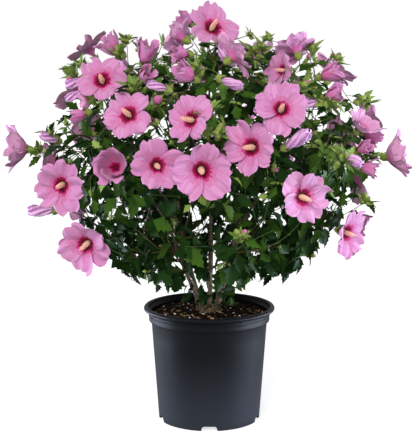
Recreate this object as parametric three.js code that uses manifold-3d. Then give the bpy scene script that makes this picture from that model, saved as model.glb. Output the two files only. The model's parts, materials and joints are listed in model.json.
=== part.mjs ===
// Rose of sharon (Hibiscus syriacus), a flowering shrub with many stems from one root crown,
// grown in a black nursery pot. Millimetres, +Z up, with the origin at the centre of the pot's
// underside, on the ground that it stands on. The shrub's fullest side faces -Y.
//
// The pot is filled with potting mix. The root crown stands on the mix and nine stems leave it,
// each one tapering limb. Side boughs leave the stems. Every stem and bough ends where it enters
// a mass of foliage, which is one solid: twigs that branch by a seeded rule from a single foot,
// with leaves, buds and blooms fused on. Touching pieces are kept 0.3 mm apart.
import * as THREE from "three";
import { mergeVertices } from "three/addons/utils/BufferGeometryUtils.js";
import Module from "manifold-3d";

const wasm = await Module();
wasm.setup();

// ---------------------------------------------------------------- driving dimensions, in mm

const GAP = 0.3; // between pieces that touch
const SLIVER = 0.1; // faces thinner than this, which a cut leaves, are merged away

const POT = {
  height: 245,
  lipRadius: 140,
  bandRadius: 129, // the thickened band under the lip
  wallTopRadius: 124.5,
  footRadius: 108.5,
  wall: 2.4,
  lipHeight: 9,
  bandHeight: 22,
  floorRise: 10, // of the drainage channel between the foot ring and the centre pad
  padRadius: 72,
  footRingWidth: 7,
  notches: 5, // arches through the foot ring, the first at the front
  notchWidth: 34,
  drainWidth: 16,
};
const SOIL = { level: 229, mound: 5, flatRadius: 52 };
const ROOT_CROWN = { flareRadius: 31, neckRadius: 23, height: 24 };

// The crown of foliage is an ellipsoid: its centre's height and its reach from there. Blooms can
// stand out of it, within a box, and leaf tips hardly do.
const CROWN = { height: 560, reach: new THREE.Vector3(370, 330, 310) };
const BOX = { margin: 74, lowest: 262, highest: 884 };

const STEMS = 8; // and a leader in the middle
const STEM = { spread: 17, foot: 5.6, tip: 3, lean: 0.6, sides: 6, steps: 6 };
const BOUGH = { foot: 3.3, tip: 2.3, sides: 4, steps: 3 };
const TWIG = { foot: 2.4, middle: 1.5, tip: 1.1, sides: 3, steps: 2 };
const FORK_SHARES = [0.3, 0.45, 0.6, 0.75]; // where others can leave a twig, along its length
const STALK = 14; // from a bloom's base down to its twig's end
const BUD = { radius: 5, length: 22 }; // at the end of each leafy shoot

// Rings of foliage masses: how many, how far out and how high their centres stand, the turn of
// the first one in steps of the ring, how far up its stem a mass's bough forks off (1 where the
// stem itself ends in the mass), and its leafy shoots besides the twigs that carry blooms.
const TIERS = [
  { name: "middle", count: 8, out: 0.66, height: 566, turn: 0, forkAt: 1, shoots: 3 },
  { name: "low", count: 8, out: 0.6, height: 428, turn: 0.5, forkAt: 0.4, shoots: 4 },
  { name: "upper", count: 6, out: 0.47, height: 722, turn: 0.5, forkAt: 0.6, shoots: 3 },
  { name: "inner", count: 3, out: 0.2, height: 545, turn: 0.1, forkAt: 0.52, shoots: 3 },
];
const TOP = { height: 790, shoots: 3 };
const UNEVEN = { turn: 0.24, height: 34 }; // how unevenly a ring's masses stand, in radians and mm
const SHOOT = { space: 300, room: 40, tries: 20, out: 0.87 };

const LEAF = { length: 96, tipLength: 74, breadth: 0.6, thickness: 0.035, spacing: 26, out: 1.04 };
const LEAF_TRIES = [0, 1.3, -1.3, 2.6]; // turns, in radians, where a leaf's place is taken
const GOLDEN_ANGLE = THREE.MathUtils.degToRad(137.508);
const SEED = 20417;

// Blooms that make the front of the shrub. Each row is the bloom's place across and its height,
// in mm, the way it faces, in degrees to +X from -Y and then upwards, and its breadth in mm.
// The crown's surface gives its depth.
const FRONT = {
  open: [
    [1, 821, 20, 33, 98],
    [-46, 804, -118, 24, 74],
    [36, 766, 115, 33, 88],
    [174, 775, -165, 48, 80],
    [150, 746, -58, 6, 70],
    [-206, 721, -5, 26, 92],
    [-147, 661, -22, 24, 92],
    [-27, 656, -38, 10, 94],
    [132, 670, 4, 22, 98],
    [85, 607, -32, 4, 100],
    [-17, 570, 4, -4, 106],
    [-100, 575, 10, -2, 90],
    [167, 514, 28, -6, 100],
    [260, 428, 46, -8, 96],
    [-285, 526, -14, -4, 100],
    [-237, 410, -22, -14, 104],
  ],
  cup: [
    [-376, 582, -82, 4, 88],
    [366, 566, 82, 12, 86],
    [294, 628, 50, 50, 60],
    [-232, 690, -92, -22, 40],
  ],
  trumpet: [
    [-29, 732, -70, 26, 44],
    [-126, 760, 30, 62, 48],
    [-180, 775, -80, 50, 48],
    [-132, 728, 40, 30, 36],
    [-36, 838, -60, 30, 34],
    [-40, 776, -75, 10, 34],
    [217, 733, 75, 24, 44],
    [224, 694, 60, 20, 40],
    [-238, 665, -75, -14, 36],
    [306, 622, 78, -14, 40],
    [292, 588, 50, 30, 32],
    [298, 556, 75, -4, 34],
    [-176, 566, -4, 10, 58],
  ],
  rolled: [
    [142, 606, 64, 32, 54],
    [254, 590, 60, -26, 46],
    [209, 684, -80, 0, 40],
    [-325, 453, -88, 0, 54],
    [-302, 607, -50, 20, 40],
    [-243, 725, -95, -10, 42],
    [-245, 704, -90, -20, 38],
    [-80, 712, -85, 20, 38],
    [-101, 690, 40, 30, 36],
    [22, 731, 75, -22, 42],
    [20, 800, 20, -50, 42],
  ],
};
const FRONT_INSET = 0.93; // a bloom's base, as a share of the crown's reach
const BACK = { blooms: 22, low: 400, high: 780, inset: 0.9 };
const BACK_KINDS = ["open", "open", "trumpet", "open", "rolled"];
const BACK_SIZES = { open: 94, trumpet: 50, rolled: 40 };

// ---------------------------------------------------------------------------- small helpers

const UP = new THREE.Vector3(0, 0, 1);
const vec = (x, y, z) => new THREE.Vector3(x, y, z);
const cross = (a, b) => vec(0, 0, 0).crossVectors(a, b);
const turned = (angle) => vec(Math.cos(angle), Math.sin(angle), 0);

// A stream of numbers from 0 to 1 that is the same on every run (mulberry32).
function stream(seed) {
  let state = seed >>> 0;
  return () => {
    state = (state + 0x6d2b79f5) >>> 0;
    let t = Math.imul(state ^ (state >>> 15), 1 | state);
    t = (t + Math.imul(t ^ (t >>> 7), 61 | t)) ^ t;
    return ((t ^ (t >>> 14)) >>> 0) / 4294967296;
  };
}

const CROWN_CENTRE = vec(0, 0, CROWN.height);

// The crown's outward direction at a point.
const outward = (point) =>
  point.clone().sub(CROWN_CENTRE).divide(CROWN.reach).divide(CROWN.reach).normalize();

// How far out a point lies in the crown: 1 on its surface.
const depthOf = (point) => point.clone().sub(CROWN_CENTRE).divide(CROWN.reach).length();

// A point, drawn in towards the centre where it lies too near the crown's surface.
const drawnIn = (point, share) =>
  point.clone().sub(CROWN_CENTRE).multiplyScalar(Math.min(1, share / depthOf(point))).add(CROWN_CENTRE);

// A unit vector at right angles to a direction, turned round it by an angle.
function sideways(direction, angle) {
  const reference = Math.abs(direction.z) < 0.9 ? UP : vec(1, 0, 0);
  return cross(direction, reference).normalize().applyAxisAngle(direction, angle);
}

// The way a bloom faces, from its two angles in degrees.
function facing(yaw, pitch) {
  const [a, b] = [yaw, pitch].map(THREE.MathUtils.degToRad);
  return vec(Math.sin(a) * Math.cos(b), -Math.cos(a) * Math.cos(b), Math.sin(b));
}

// ------------------------------------------------------------------------------ geometries

// A closed solid through rings of points, each ring turning the same way. Rings can differ in
// their number of points, and a ring of one point is a tip. The end rings are filled in.
function loft(rings) {
  const points = rings.flat();
  const faces = [];
  let start = 0;
  for (let n = 0; n + 1 < rings.length; n++) {
    const [below, above] = [rings[n].length, rings[n + 1].length];
    const a = (i) => start + (i % below);
    const b = (j) => start + below + (j % above);
    let [i, j] = [0, 0];
    while (i < below || j < above) {
      if (j === above || (i < below && (i + 1) * above <= (j + 1) * below)) {
        if (below > 1) faces.push(a(i), a(i + 1), b(j));
        i++;
      } else {
        if (above > 1) faces.push(a(i), b(j + 1), b(j));
        j++;
      }
    }
    start += below;
  }
  for (let k = 1; k < rings[0].length - 1; k++) faces.push(0, k + 1, k);
  for (let k = 1; k < rings.at(-1).length - 1; k++) faces.push(start, start + k, start + k + 1);
  return new THREE.BufferGeometry().setFromPoints(points).setIndex(faces);
}

// A round ring of points about +Z.
const roundRing = (radius, z, count) =>
  Array.from({ length: count }, (_, k) =>
    turned((2 * Math.PI * k) / count).multiplyScalar(radius).setZ(z),
  );

// The rings of a tube through the points, with one radius for each point.
function tubeRings(points, radii, sides) {
  const reference = sideways(points.at(-1).clone().sub(points[0]).normalize(), 0);
  return points.map((point, i) => {
    const along = directionAt({ points }, i);
    const u = cross(along, reference).normalize();
    const v = cross(along, u);
    return roundRing(radii[i], 0, sides).map(({ x, y }) =>
      point.clone().addScaledVector(u, x).addScaledVector(v, y),
    );
  });
}

// A leaf along +X, its upper face to +Z: a foot that starts inside the twig, the rib under the
// blade with the blade's two corners, and a tip that hangs.
function leafGeometry(length) {
  const [broad, half] = [0.42 * length, (length * LEAF.breadth) / 2];
  return loft([
    [vec(0, 0, -0.5), vec(0, 0, 0.5)],
    [vec(broad, 0, -LEAF.thickness * length), vec(broad, half, 0), vec(broad, -half, 0)],
    [vec(length, 0, -0.14 * length)],
  ]);
}

// The edge of five petals: for each petal a few points, given as its turn from the notch beside
// it, in petals, and its reach as a share of the bloom's radius.
function petalEdge(radius, lift, edge) {
  return Array.from({ length: 5 }, (_, petal) =>
    edge.map(([turn, reach]) =>
      turned(((petal + turn) * 2 * Math.PI) / 5)
        .multiplyScalar(radius * reach)
        .setZ(radius * lift * reach * reach),
    ),
  ).flat();
}

// A bloom's rings, facing +Z, from its calyx to the tip of the column in its throat.
const BLOOM = {
  open: (breadth) => [
    roundRing(8, -2, 3),
    petalEdge(breadth / 2, 0.34, [[0, 0.54], [0.2, 0.93], [0.5, 1], [0.8, 0.93]]),
    roundRing(6, 2, 3),
    [vec(0, 0, 0.36 * breadth)],
  ],
  cup: (breadth) => [
    roundRing(8, -2, 3),
    petalEdge(breadth / 2, 1, [[0, 0.6], [0.3, 0.97], [0.7, 0.97]]),
    [vec(0, 0, 8)],
  ],
  trumpet: (breadth) => [
    roundRing(7, 0, 3),
    petalEdge(breadth / 2, 1.7, [[0, 0.74], [0.5, 1]]),
    [vec(0, 0, 12)],
  ],
  rolled: (length) => [roundRing(8, 0, 3), roundRing(9, 0.6 * length, 3), [vec(0, 0, length)]],
};

// ----------------------------------------------------------------------------------- solids

// A geometry as a solid, turned and moved by a matrix.
function solid(geometry, matrix) {
  const bare = new THREE.BufferGeometry().setAttribute(
    "position",
    (geometry.index ? geometry.toNonIndexed() : geometry).getAttribute("position"),
  );
  if (matrix) bare.applyMatrix4(matrix);
  const merged = mergeVertices(bare, 1e-4);
  return new wasm.Manifold(
    new wasm.Mesh({
      numProp: 3,
      vertProperties: merged.attributes.position.array,
      triVerts: new Uint32Array(merged.index.array),
    }),
  );
}

function geometryOf(piece) {
  const mesh = piece.getMesh();
  return new THREE.BufferGeometry()
    .setAttribute("position", new THREE.BufferAttribute(mesh.vertProperties, 3))
    .setIndex(new THREE.BufferAttribute(mesh.triVerts, 1));
}

const join = (pieces) => wasm.Manifold.union(pieces);

// Its largest body, without the scraps that a cut leaves.
const largest = (piece) =>
  piece.decompose().reduce((best, part) => (part.volume() > best.volume() ? part : best));

function apart(a, b) {
  const [p, q] = [a.boundingBox(), b.boundingBox()];
  const boxesApart = [0, 1, 2].some((i) => p.max[i] < q.min[i] || q.max[i] < p.min[i]);
  return boxesApart || a.intersect(b).volume() < 1e-6;
}

// Whether a piece keeps to the box round the crown.
function inBox(piece) {
  const { min, max } = piece.boundingBox();
  const [x, y] = [CROWN.reach.x + BOX.margin, CROWN.reach.y + BOX.margin];
  const inside = min[0] > -x && max[0] < x && min[1] > -y && max[1] < y;
  return inside && min[2] > BOX.lowest && max[2] < BOX.highest;
}

// ------------------------------------------------------------------------- pot and potting mix

const lathe = (profile, segments) =>
  new THREE.LatheGeometry(
    profile.map(([r, z]) => new THREE.Vector2(r, z)),
    segments,
  ).rotateX(Math.PI / 2);

const POT_SEGMENTS = 32;

// The outer wall's radius at a height, under the band.
const wallRadius = (z) =>
  THREE.MathUtils.mapLinear(z, 0, POT.height, POT.footRadius, POT.wallTopRadius + 1.5);

const LIP_FOOT = POT.height - POT.lipHeight;
const BAND_FOOT = LIP_FOOT - POT.bandHeight;
const FLOOR = POT.floorRise + POT.wall; // over the drainage channel; the pad is lower
const RING_INNER = POT.footRadius - POT.footRingWidth;

// The arch of a notch, seen from outside, from just below the ground.
function notchShape() {
  const half = POT.notchWidth / 2;
  return new THREE.Shape()
    .moveTo(-half - 2, -4)
    .lineTo(half + 2, -4)
    .lineTo(half, 2)
    .lineTo(half - 4, POT.floorRise - 2)
    .lineTo(half - 10, POT.floorRise)
    .lineTo(10 - half, POT.floorRise)
    .lineTo(4 - half, POT.floorRise - 2)
    .lineTo(-half, 2);
}

function potSolid() {
  const { height, lipRadius, bandRadius, padRadius, wall } = POT;
  const shell = solid(
    lathe(
      [
        [0, 0],
        [padRadius, 0],
        [padRadius + 6, POT.floorRise],
        [RING_INNER - 3, POT.floorRise],
        [RING_INNER, 0],
        [POT.footRadius, 0],
        [wallRadius(BAND_FOOT), BAND_FOOT - 1],
        [bandRadius - 0.5, BAND_FOOT + 1],
        [bandRadius, LIP_FOOT],
        [lipRadius, LIP_FOOT + 1.5],
        [lipRadius - 2, height],
        [lipRadius - 8, height],
        [bandRadius - wall, LIP_FOOT],
        [bandRadius - wall, BAND_FOOT + 2],
        [wallRadius(BAND_FOOT) - wall, BAND_FOOT - 1],
        [wallRadius(FLOOR) - wall, FLOOR],
        [padRadius + 4, FLOOR],
        [padRadius - 3, wall],
        [0, wall],
      ],
      POT_SEGMENTS,
    ),
  );
  const cuts = [];
  for (let i = 0; i < POT.notches; i++) {
    const angle = -Math.PI / 2 + (2 * Math.PI * i) / POT.notches;
    const arch = new THREE.ExtrudeGeometry(notchShape(), { depth: 24, bevelEnabled: false });
    // The arch's width lies along the rim, its height upwards and its depth outwards.
    const frame = new THREE.Matrix4().makeBasis(turned(angle + Math.PI / 2), UP, turned(angle));
    cuts.push(solid(arch, frame.setPosition(turned(angle).multiplyScalar(RING_INNER - 8))));
    const drain = new THREE.CylinderGeometry(POT.drainWidth / 2, POT.drainWidth / 2, 12, 8);
    drain.rotateX(Math.PI / 2).translate(RING_INNER - 13, 0, FLOOR - wall / 2);
    cuts.push(solid(drain, new THREE.Matrix4().makeRotationZ(angle + Math.PI / POT.notches)));
  }
  return cuts.reduce((rest, cut) => rest.subtract(cut), shell);
}

// The mix fills the pot, and mounds a little to a flat place under the root crown.
function soilSolid() {
  const inner = (z) => wallRadius(z) - POT.wall - GAP;
  const bandInner = POT.bandRadius - POT.wall - GAP;
  return solid(
    lathe(
      [
        [0, POT.wall + GAP],
        [POT.padRadius - 3.4, POT.wall + GAP],
        [POT.padRadius + 3.6, FLOOR + GAP],
        [inner(FLOOR) - 0.1, FLOOR + GAP],
        [inner(BAND_FOOT) - 0.1, BAND_FOOT - 1],
        [bandInner - 0.1, BAND_FOOT + 3],
        [bandInner, SOIL.level],
        [SOIL.flatRadius, SOIL.level + SOIL.mound],
        [0, SOIL.level + SOIL.mound],
      ],
      POT_SEGMENTS,
    ),
  );
}

// ------------------------------------------------------------------------------ woody limbs

const GROUND = SOIL.level + SOIL.mound + GAP;

// The burl that the stems rise from: a flared foot, cut flat on the mix.
function rootCrownSolid(grow) {
  const { flareRadius, neckRadius, height } = ROOT_CROWN;
  return solid(
    lathe(
      [
        [0, -grow],
        [flareRadius + grow, -grow],
        [neckRadius + 4 + grow, 0.25 * height],
        [neckRadius + grow, 0.6 * height],
        [neckRadius * 0.7 + grow, 0.92 * height],
        [0, height + grow],
      ],
      14,
    ),
    new THREE.Matrix4().makeTranslation(0, 0, GROUND),
  );
}

// Points evenly along a smooth curve that leaves a point one way and arrives another way.
function curvePoints(from, leaving, to, arriving, steps) {
  const reach = from.distanceTo(to) / 3;
  return new THREE.CubicBezierCurve3(
    from,
    from.clone().addScaledVector(leaving, reach),
    to.clone().addScaledVector(arriving, -reach),
    to,
  ).getPoints(steps);
}

// A limb: its points, and its radius at each of them.
function limb(points, foot, tip) {
  const last = points.length - 1;
  return { points, radii: points.map((_, i) => THREE.MathUtils.lerp(foot, tip, i / last)) };
}

const limbSolid = ({ points, radii }, sides, grow = 0) =>
  solid(loft(tubeRings(points, radii.map((r) => r + grow), sides)));

// The direction of a limb at one of its points.
function directionAt({ points }, i) {
  const last = points.length - 1;
  return points[Math.min(i + 1, last)].clone().sub(points[Math.max(i - 1, 0)]).normalize();
}

const crownPoint = (out, height, angle) =>
  vec(CROWN.reach.x * out * Math.cos(angle), CROWN.reach.y * out * Math.sin(angle), height);

// Where the masses stand, ring by ring, and the stem that each belongs to.
function massPlaces() {
  const chance = stream(SEED);
  const places = TIERS.flatMap(({ name, count, out, height, turn, ...tier }) =>
    Array.from({ length: count }, (_, i) => {
      const angle = -Math.PI / 2 + (2 * Math.PI * (i + turn)) / count + UNEVEN.turn * (chance() - 0.5);
      const centre = crownPoint(out, height + UNEVEN.height * (chance() - 0.5), angle);
      const stem = Math.floor(((i + turn) * STEMS) / count + 0.01) % STEMS;
      return { ...tier, name: `${name}_${i + 1}`, centre, stem };
    }),
  );
  const centre = vec(0, 0, TOP.height);
  return [...places, { name: "top", centre, stem: STEMS, forkAt: 1, shoots: TOP.shoots }];
}

// A mass is entered from below and from the middle of the shrub.
function entryOf(centre) {
  const inwards = vec(0.62 * centre.x, 0.62 * centre.y, centre.z - 70);
  return { point: inwards, direction: centre.clone().sub(inwards).normalize() };
}

function growLimbs(places) {
  const limbs = places
    .filter(({ forkAt }) => forkAt === 1)
    .map(({ centre, stem }) => {
      const isLeader = stem === STEMS;
      const angle = Math.atan2(centre.y, centre.x);
      const foot = turned(angle).multiplyScalar(isLeader ? 0 : STEM.spread).setZ(GROUND + 12);
      const leaving = turned(angle).multiplyScalar(isLeader ? 0.04 : STEM.lean).add(UP).normalize();
      const { point, direction } = entryOf(centre);
      const points = curvePoints(foot, leaving, point, direction, STEM.steps);
      return { name: isLeader ? "leader" : `stem_${stem + 1}`, ...limb(points, STEM.foot, STEM.tip) };
    });
  const boughs = places
    .filter(({ forkAt }) => forkAt < 1)
    .map(({ name, centre, stem, forkAt }) => {
      const parent = limbs[stem];
      const i = Math.round(forkAt * (parent.points.length - 1));
      const { point, direction } = entryOf(centre);
      const straight = point.clone().sub(parent.points[i]).normalize();
      const leaving = directionAt(parent, i).lerp(straight, 0.6).normalize();
      const points = curvePoints(parent.points[i], leaving, point, direction, BOUGH.steps);
      return { name: `bough_${name}`, parent, ...limb(points, BOUGH.foot, BOUGH.tip) };
    });
  return [...limbs, ...boughs];
}

// ------------------------------------------------------------------------- foliage masses

// All blooms: the front ones from their rows, and the rest by a rule round the back.
function allBlooms() {
  const chance = stream(SEED);
  const front = Object.entries(FRONT).flatMap(([kind, rows]) =>
    rows.map(([x, z, yaw, pitch, size]) => {
      const reach = CROWN.reach.clone().multiplyScalar(FRONT_INSET);
      const across = (x / reach.x) ** 2 + ((z - CROWN.height) / reach.z) ** 2;
      const y = -reach.y * Math.sqrt(Math.max(0.01, 1 - across));
      return { kind, size, base: vec(x, y, z), face: facing(yaw, pitch) };
    }),
  );
  const back = Array.from({ length: BACK.blooms }, (_, i) => {
    const z = THREE.MathUtils.lerp(BACK.low, BACK.high, (i + 0.5) / BACK.blooms);
    const angle = Math.PI * (0.02 + 0.96 * ((i * 0.618034) % 1));
    const rise = (z - CROWN.height) / CROWN.reach.z;
    const base = crownPoint(BACK.inset * Math.sqrt(1 - rise * rise), z, angle);
    const face = outward(base).addScaledVector(UP, 0.5 * chance()).normalize();
    const kind = BACK_KINDS[i % BACK_KINDS.length];
    return { kind, size: BACK_SIZES[kind], base, face };
  });
  return [...front, ...back];
}

const nearest = (point, places) =>
  places.reduce((best, place) =>
    place.centre.distanceTo(point) < best.centre.distanceTo(point) ? place : best,
  );

// Tips for leafy shoots, spread evenly over a mass's own space: of a few chances each time, the
// one that stands furthest from the tips that are there.
function shootTips(place, places, taken, chance) {
  const tips = [];
  const roomAt = (tip) => Math.min(...[...taken, ...tips].map((other) => other.distanceTo(tip)), 1e3);
  for (let n = 0; n < place.shoots; n++) {
    const chances = Array.from({ length: SHOOT.tries }, () => {
      const offset = vec(chance() - 0.5, chance() - 0.5, chance() - 0.5);
      return drawnIn(offset.multiplyScalar(SHOOT.space).add(place.centre), SHOOT.out);
    }).filter((tip) => nearest(tip, places) === place);
    if (!chances.length) continue;
    const best = chances.reduce((a, b) => (roomAt(b) > roomAt(a) ? b : a));
    if (roomAt(best) > SHOOT.room) tips.push(best);
  }
  return tips.sort((a, b) => a.distanceTo(place.centre) - b.distanceTo(place.centre));
}

// The place on a twig's axis at a share of its length, its direction and the twig's radius there.
function placeOn({ points, radii }, share) {
  const i = Math.min(Math.floor(share * (points.length - 1)), points.length - 2);
  const part = share * (points.length - 1) - i;
  return {
    point: points[i].clone().lerp(points[i + 1], part),
    direction: points[i + 1].clone().sub(points[i]).normalize(),
    radius: THREE.MathUtils.lerp(radii[i], radii[i + 1], part),
  };
}

// The places along a twig where others can fork from it.
const forksAlong = (twig) => FORK_SHARES.map((share) => placeOn(twig, share));

// The free fork from which a twig best reaches a tip: near, and forwards.
function forkTowards(forks, tip) {
  const cost = ({ point, direction }) => {
    const way = tip.clone().sub(point);
    return way.length() * (1 + 1.2 * way.angleTo(direction) ** 2);
  };
  return forks.reduce((best, fork) => (cost(fork) < cost(best) ? fork : best));
}

// A twig from its fork to a tip. Its foot is slim, so that it starts inside the twig it leaves.
function twigTo({ point, direction, radius }, tip, arriving) {
  const straight = tip.clone().sub(point).normalize();
  const leaving = direction.clone().lerp(straight, 0.5).normalize();
  const points = curvePoints(point, leaving, tip, arriving ?? straight, TWIG.steps);
  return { points, radii: [0.35 * radius, TWIG.middle, TWIG.tip] };
}

// A leafy shoot's twig swells at its end into a bud in its green bracts.
function shootSolid({ points, radii }) {
  const along = directionAt({ points }, points.length - 1);
  const at = (share) => points.at(-1).clone().addScaledVector(along, share * BUD.length);
  const rings = tubeRings([...points, at(0.35)], [...radii, BUD.radius], TWIG.sides);
  return solid(loft([...rings, [at(1)]]));
}

// A bloom with its twig as one loft, in which the calyx widens from the twig's last ring, and
// the bloom's head alone.
function bloomSolids({ kind, size, base, face }, { points, radii }) {
  const rings = tubeRings(points, radii, TWIG.sides);
  const across = rings.at(-1)[0].clone().sub(points.at(-1)).normalize();
  const frame = new THREE.Matrix4().makeBasis(across, cross(face, across), face).setPosition(base);
  const head = BLOOM[kind](size).map((ring) => ring.map((point) => point.applyMatrix4(frame)));
  return [solid(loft([...rings, ...head])), solid(loft(head))];
}

// The leaves of a shoot, in a spiral: longer and lower on the twig, shorter at its tip. Each is
// a list of places to try, turned round the twig from one to the next, that keep to the crown.
function leavesOn(twig, chance) {
  const reach = twig.points[0].distanceTo(twig.points.at(-1));
  const count = Math.max(2, Math.round(reach / LEAF.spacing));
  const turn = 6 * chance();
  return Array.from({ length: count }, (_, i) => {
    const t = THREE.MathUtils.lerp(0.3, 0.96, i / (count - 1));
    const { point, direction: along } = placeOn(twig, t);
    const drop = THREE.MathUtils.mapLinear(point.z, 300, 850, 0.75, 0.05);
    const forwards = i === count - 1 ? 1.2 : 0.3;
    const length = THREE.MathUtils.lerp(LEAF.length, LEAF.tipLength, t) * (0.85 + 0.3 * chance());
    const tilt = 6 * chance();
    return LEAF_TRIES.flatMap((step) => {
      const side = sideways(along, turn + i * GOLDEN_ANGLE + step);
      const direction = side.addScaledVector(along, forwards).addScaledVector(UP, -drop).normalize();
      if (depthOf(point.clone().addScaledVector(direction, length)) > LEAF.out) return [];
      const upper = outward(point).add(UP).addScaledVector(sideways(direction, tilt), 0.4);
      const across = cross(upper, direction).normalize();
      const frame = new THREE.Matrix4().makeBasis(direction, across, cross(direction, across));
      return solid(leafGeometry(length), frame.setPosition(point));
    });
  });
}

// Every mass: first its spine and the twigs with their blooms, then leafy shoots, then leaves.
// A piece that would leave the crown, or touch a limb, the pot or another mass, is left out. So
// is a shoot through one of its own mass's blooms, or a leaf on anything but its own twig.
function growMasses(places, limbs, fixed) {
  const masses = places.map((place, i) => {
    const { points } = limbs.find(({ name }) => name.endsWith(place.name)) ?? limbs[place.stem];
    const along = directionAt({ points }, points.length - 1);
    const [start, end] = [GAP, 30].map((way) => points.at(-1).clone().addScaledVector(along, way));
    const beyond = place.centre.clone().addScaledVector(along, 40);
    const spine = limb([start, end, beyond], TWIG.foot, TWIG.middle);
    const body = limbSolid(spine, TWIG.sides);
    const forks = [...forksAlong(spine), { point: beyond, direction: along, radius: TWIG.middle }];
    return { place, forks, body, stalks: [body], heads: [], tips: [], chance: stream(SEED + 101 * i) };
  });
  const grow = (mass, fork, twig, stalk) => {
    mass.forks = [...mass.forks.filter((other) => other !== fork), ...forksAlong(twig)];
    mass.stalks.push(stalk);
  };
  const fits = (piece, mass) =>
    inBox(piece) && apart(piece, fixed) &&
    masses.every((other) => other === mass || apart(piece, other.body));
  const clear = (piece, others) => others.every((other) => apart(piece, other));

  allBlooms().forEach((bloom) => {
    const mass = masses.find(({ place }) => place === nearest(bloom.base, places));
    const tip = bloom.base.clone().addScaledVector(bloom.face, -STALK);
    const fork = forkTowards(mass.forks, tip);
    const twig = twigTo(fork, tip, bloom.face);
    const [stalk, head] = bloomSolids(bloom, twig);
    if (!fits(stalk, mass) || !clear(head, mass.heads)) {
      const { x, y, z } = bloom.base.round();
      console.warn(`left out: ${bloom.kind} bloom at ${x}, ${y}, ${z} in ${mass.place.name}`);
      return;
    }
    grow(mass, fork, twig, stalk);
    mass.body = join(mass.stalks);
    mass.heads.push(head);
    mass.tips.push(bloom.base);
  });

  masses.forEach((mass) => {
    const shoots = [];
    shootTips(mass.place, places, mass.tips, mass.chance).forEach((tip) => {
      const fork = forkTowards(mass.forks, tip);
      const twig = twigTo(fork, tip);
      const stalk = shootSolid(twig);
      const leaves = leavesOn(twig, mass.chance);
      if (!fits(stalk, mass) || !clear(stalk, mass.heads)) return;
      shoots.push({ stalk, leaves });
      grow(mass, fork, twig, stalk);
    });
    const grown = [];
    shoots.forEach(({ stalk, leaves }) => {
      const others = mass.stalks.filter((other) => other !== stalk);
      leaves.forEach((tries) => {
        const taken = [...others, ...mass.heads, ...grown];
        const leaf = tries.find((one) => fits(one, mass) && clear(one, taken));
        if (leaf) grown.push(leaf);
      });
    });
    mass.body = join([...mass.stalks, ...grown]);
  });
  return masses;
}

// -------------------------------------------------------------------------------- the object

const MATERIALS = {
  pot: new THREE.MeshStandardMaterial({ color: "#23262b", roughness: 0.48, metalness: 0 }),
  mix: new THREE.MeshStandardMaterial({ color: "#2c1d14", roughness: 0.95, metalness: 0 }),
  bark: new THREE.MeshStandardMaterial({ color: "#6d5a48", roughness: 0.85, metalness: 0 }),
  foliage: new THREE.MeshStandardMaterial({ color: "#3c6b2c", roughness: 0.6, metalness: 0 }),
};

const shrub = new THREE.Group();

function add(name, piece, material) {
  const mesh = new THREE.Mesh(geometryOf(piece), MATERIALS[material]);
  mesh.name = name;
  shrub.add(mesh);
}

const pot = potSolid();
const soil = soilSolid();
const rootCrown = rootCrownSolid(0);
add("pot", pot, "pot");
add("potting_mix", soil, "mix");
add("root_crown", rootCrown, "bark");

const places = massPlaces();
const limbs = growLimbs(places);
const rootSpace = rootCrownSolid(GAP);
const woody = limbs.map((one) => {
  const { sides } = one.parent ? BOUGH : STEM;
  const keepClearOf = one.parent ? limbSolid(one.parent, STEM.sides, GAP) : rootSpace;
  const piece = largest(limbSolid(one, sides).subtract(keepClearOf)).simplify(SLIVER);
  add(one.name, piece, "bark");
  return piece;
});

const masses = growMasses(places, limbs, join([pot, soil, rootCrown, ...woody]));
masses.forEach(({ place, body }) => add(`foliage_${place.name}`, largest(body), "foliage"));

export default shrub;
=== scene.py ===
"""Rose of sharon (Hibiscus syriacus), a flowering shrub in a black nursery pot.

Metres, +Z up, with the origin at the centre of the pot's underside, on the floor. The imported
solids are the frame, and each piece made here stands in the place of the solids that it names.
The shrub grows by the rule that its solids follow, from the same seed and in millimetres, and is
then carried on to finer shoots, each with its own leaves, and to buds.
"""


import functools
import json
import math
from collections import namedtuple
from types import SimpleNamespace

import bmesh
import bpy
import numpy as np
from bpy.props import FloatProperty, FloatVectorProperty, IntProperty, PointerProperty
from mathutils import Matrix, Quaternion, Vector, noise

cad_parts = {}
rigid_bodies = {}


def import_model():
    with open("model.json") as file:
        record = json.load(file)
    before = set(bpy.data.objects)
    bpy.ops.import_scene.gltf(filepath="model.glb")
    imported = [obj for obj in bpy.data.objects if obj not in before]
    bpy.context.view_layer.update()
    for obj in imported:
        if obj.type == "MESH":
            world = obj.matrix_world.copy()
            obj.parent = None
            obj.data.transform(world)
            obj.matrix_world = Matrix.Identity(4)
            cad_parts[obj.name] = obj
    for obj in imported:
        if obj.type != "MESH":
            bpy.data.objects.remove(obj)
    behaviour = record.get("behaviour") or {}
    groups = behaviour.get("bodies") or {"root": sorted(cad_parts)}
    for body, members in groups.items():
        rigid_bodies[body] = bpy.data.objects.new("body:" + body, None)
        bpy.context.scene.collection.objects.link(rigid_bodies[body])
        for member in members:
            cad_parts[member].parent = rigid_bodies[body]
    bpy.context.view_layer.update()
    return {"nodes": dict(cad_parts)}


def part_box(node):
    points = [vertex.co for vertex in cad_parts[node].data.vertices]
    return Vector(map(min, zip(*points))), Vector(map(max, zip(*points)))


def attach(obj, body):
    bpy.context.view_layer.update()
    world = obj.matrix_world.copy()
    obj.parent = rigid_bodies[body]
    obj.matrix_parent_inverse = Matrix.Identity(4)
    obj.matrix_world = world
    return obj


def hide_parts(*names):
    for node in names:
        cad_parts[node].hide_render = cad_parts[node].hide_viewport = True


bl_info = {
    "name": "Rose of Sharon in a Nursery Pot",
    "version": (1, 0, 0),
    "blender": (4, 5, 0),
    "location": "View3D > Sidebar > Shrub",
    "description": "Builds a potted rose of sharon round its packed frame",
    "category": "Add Mesh",
}

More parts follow.
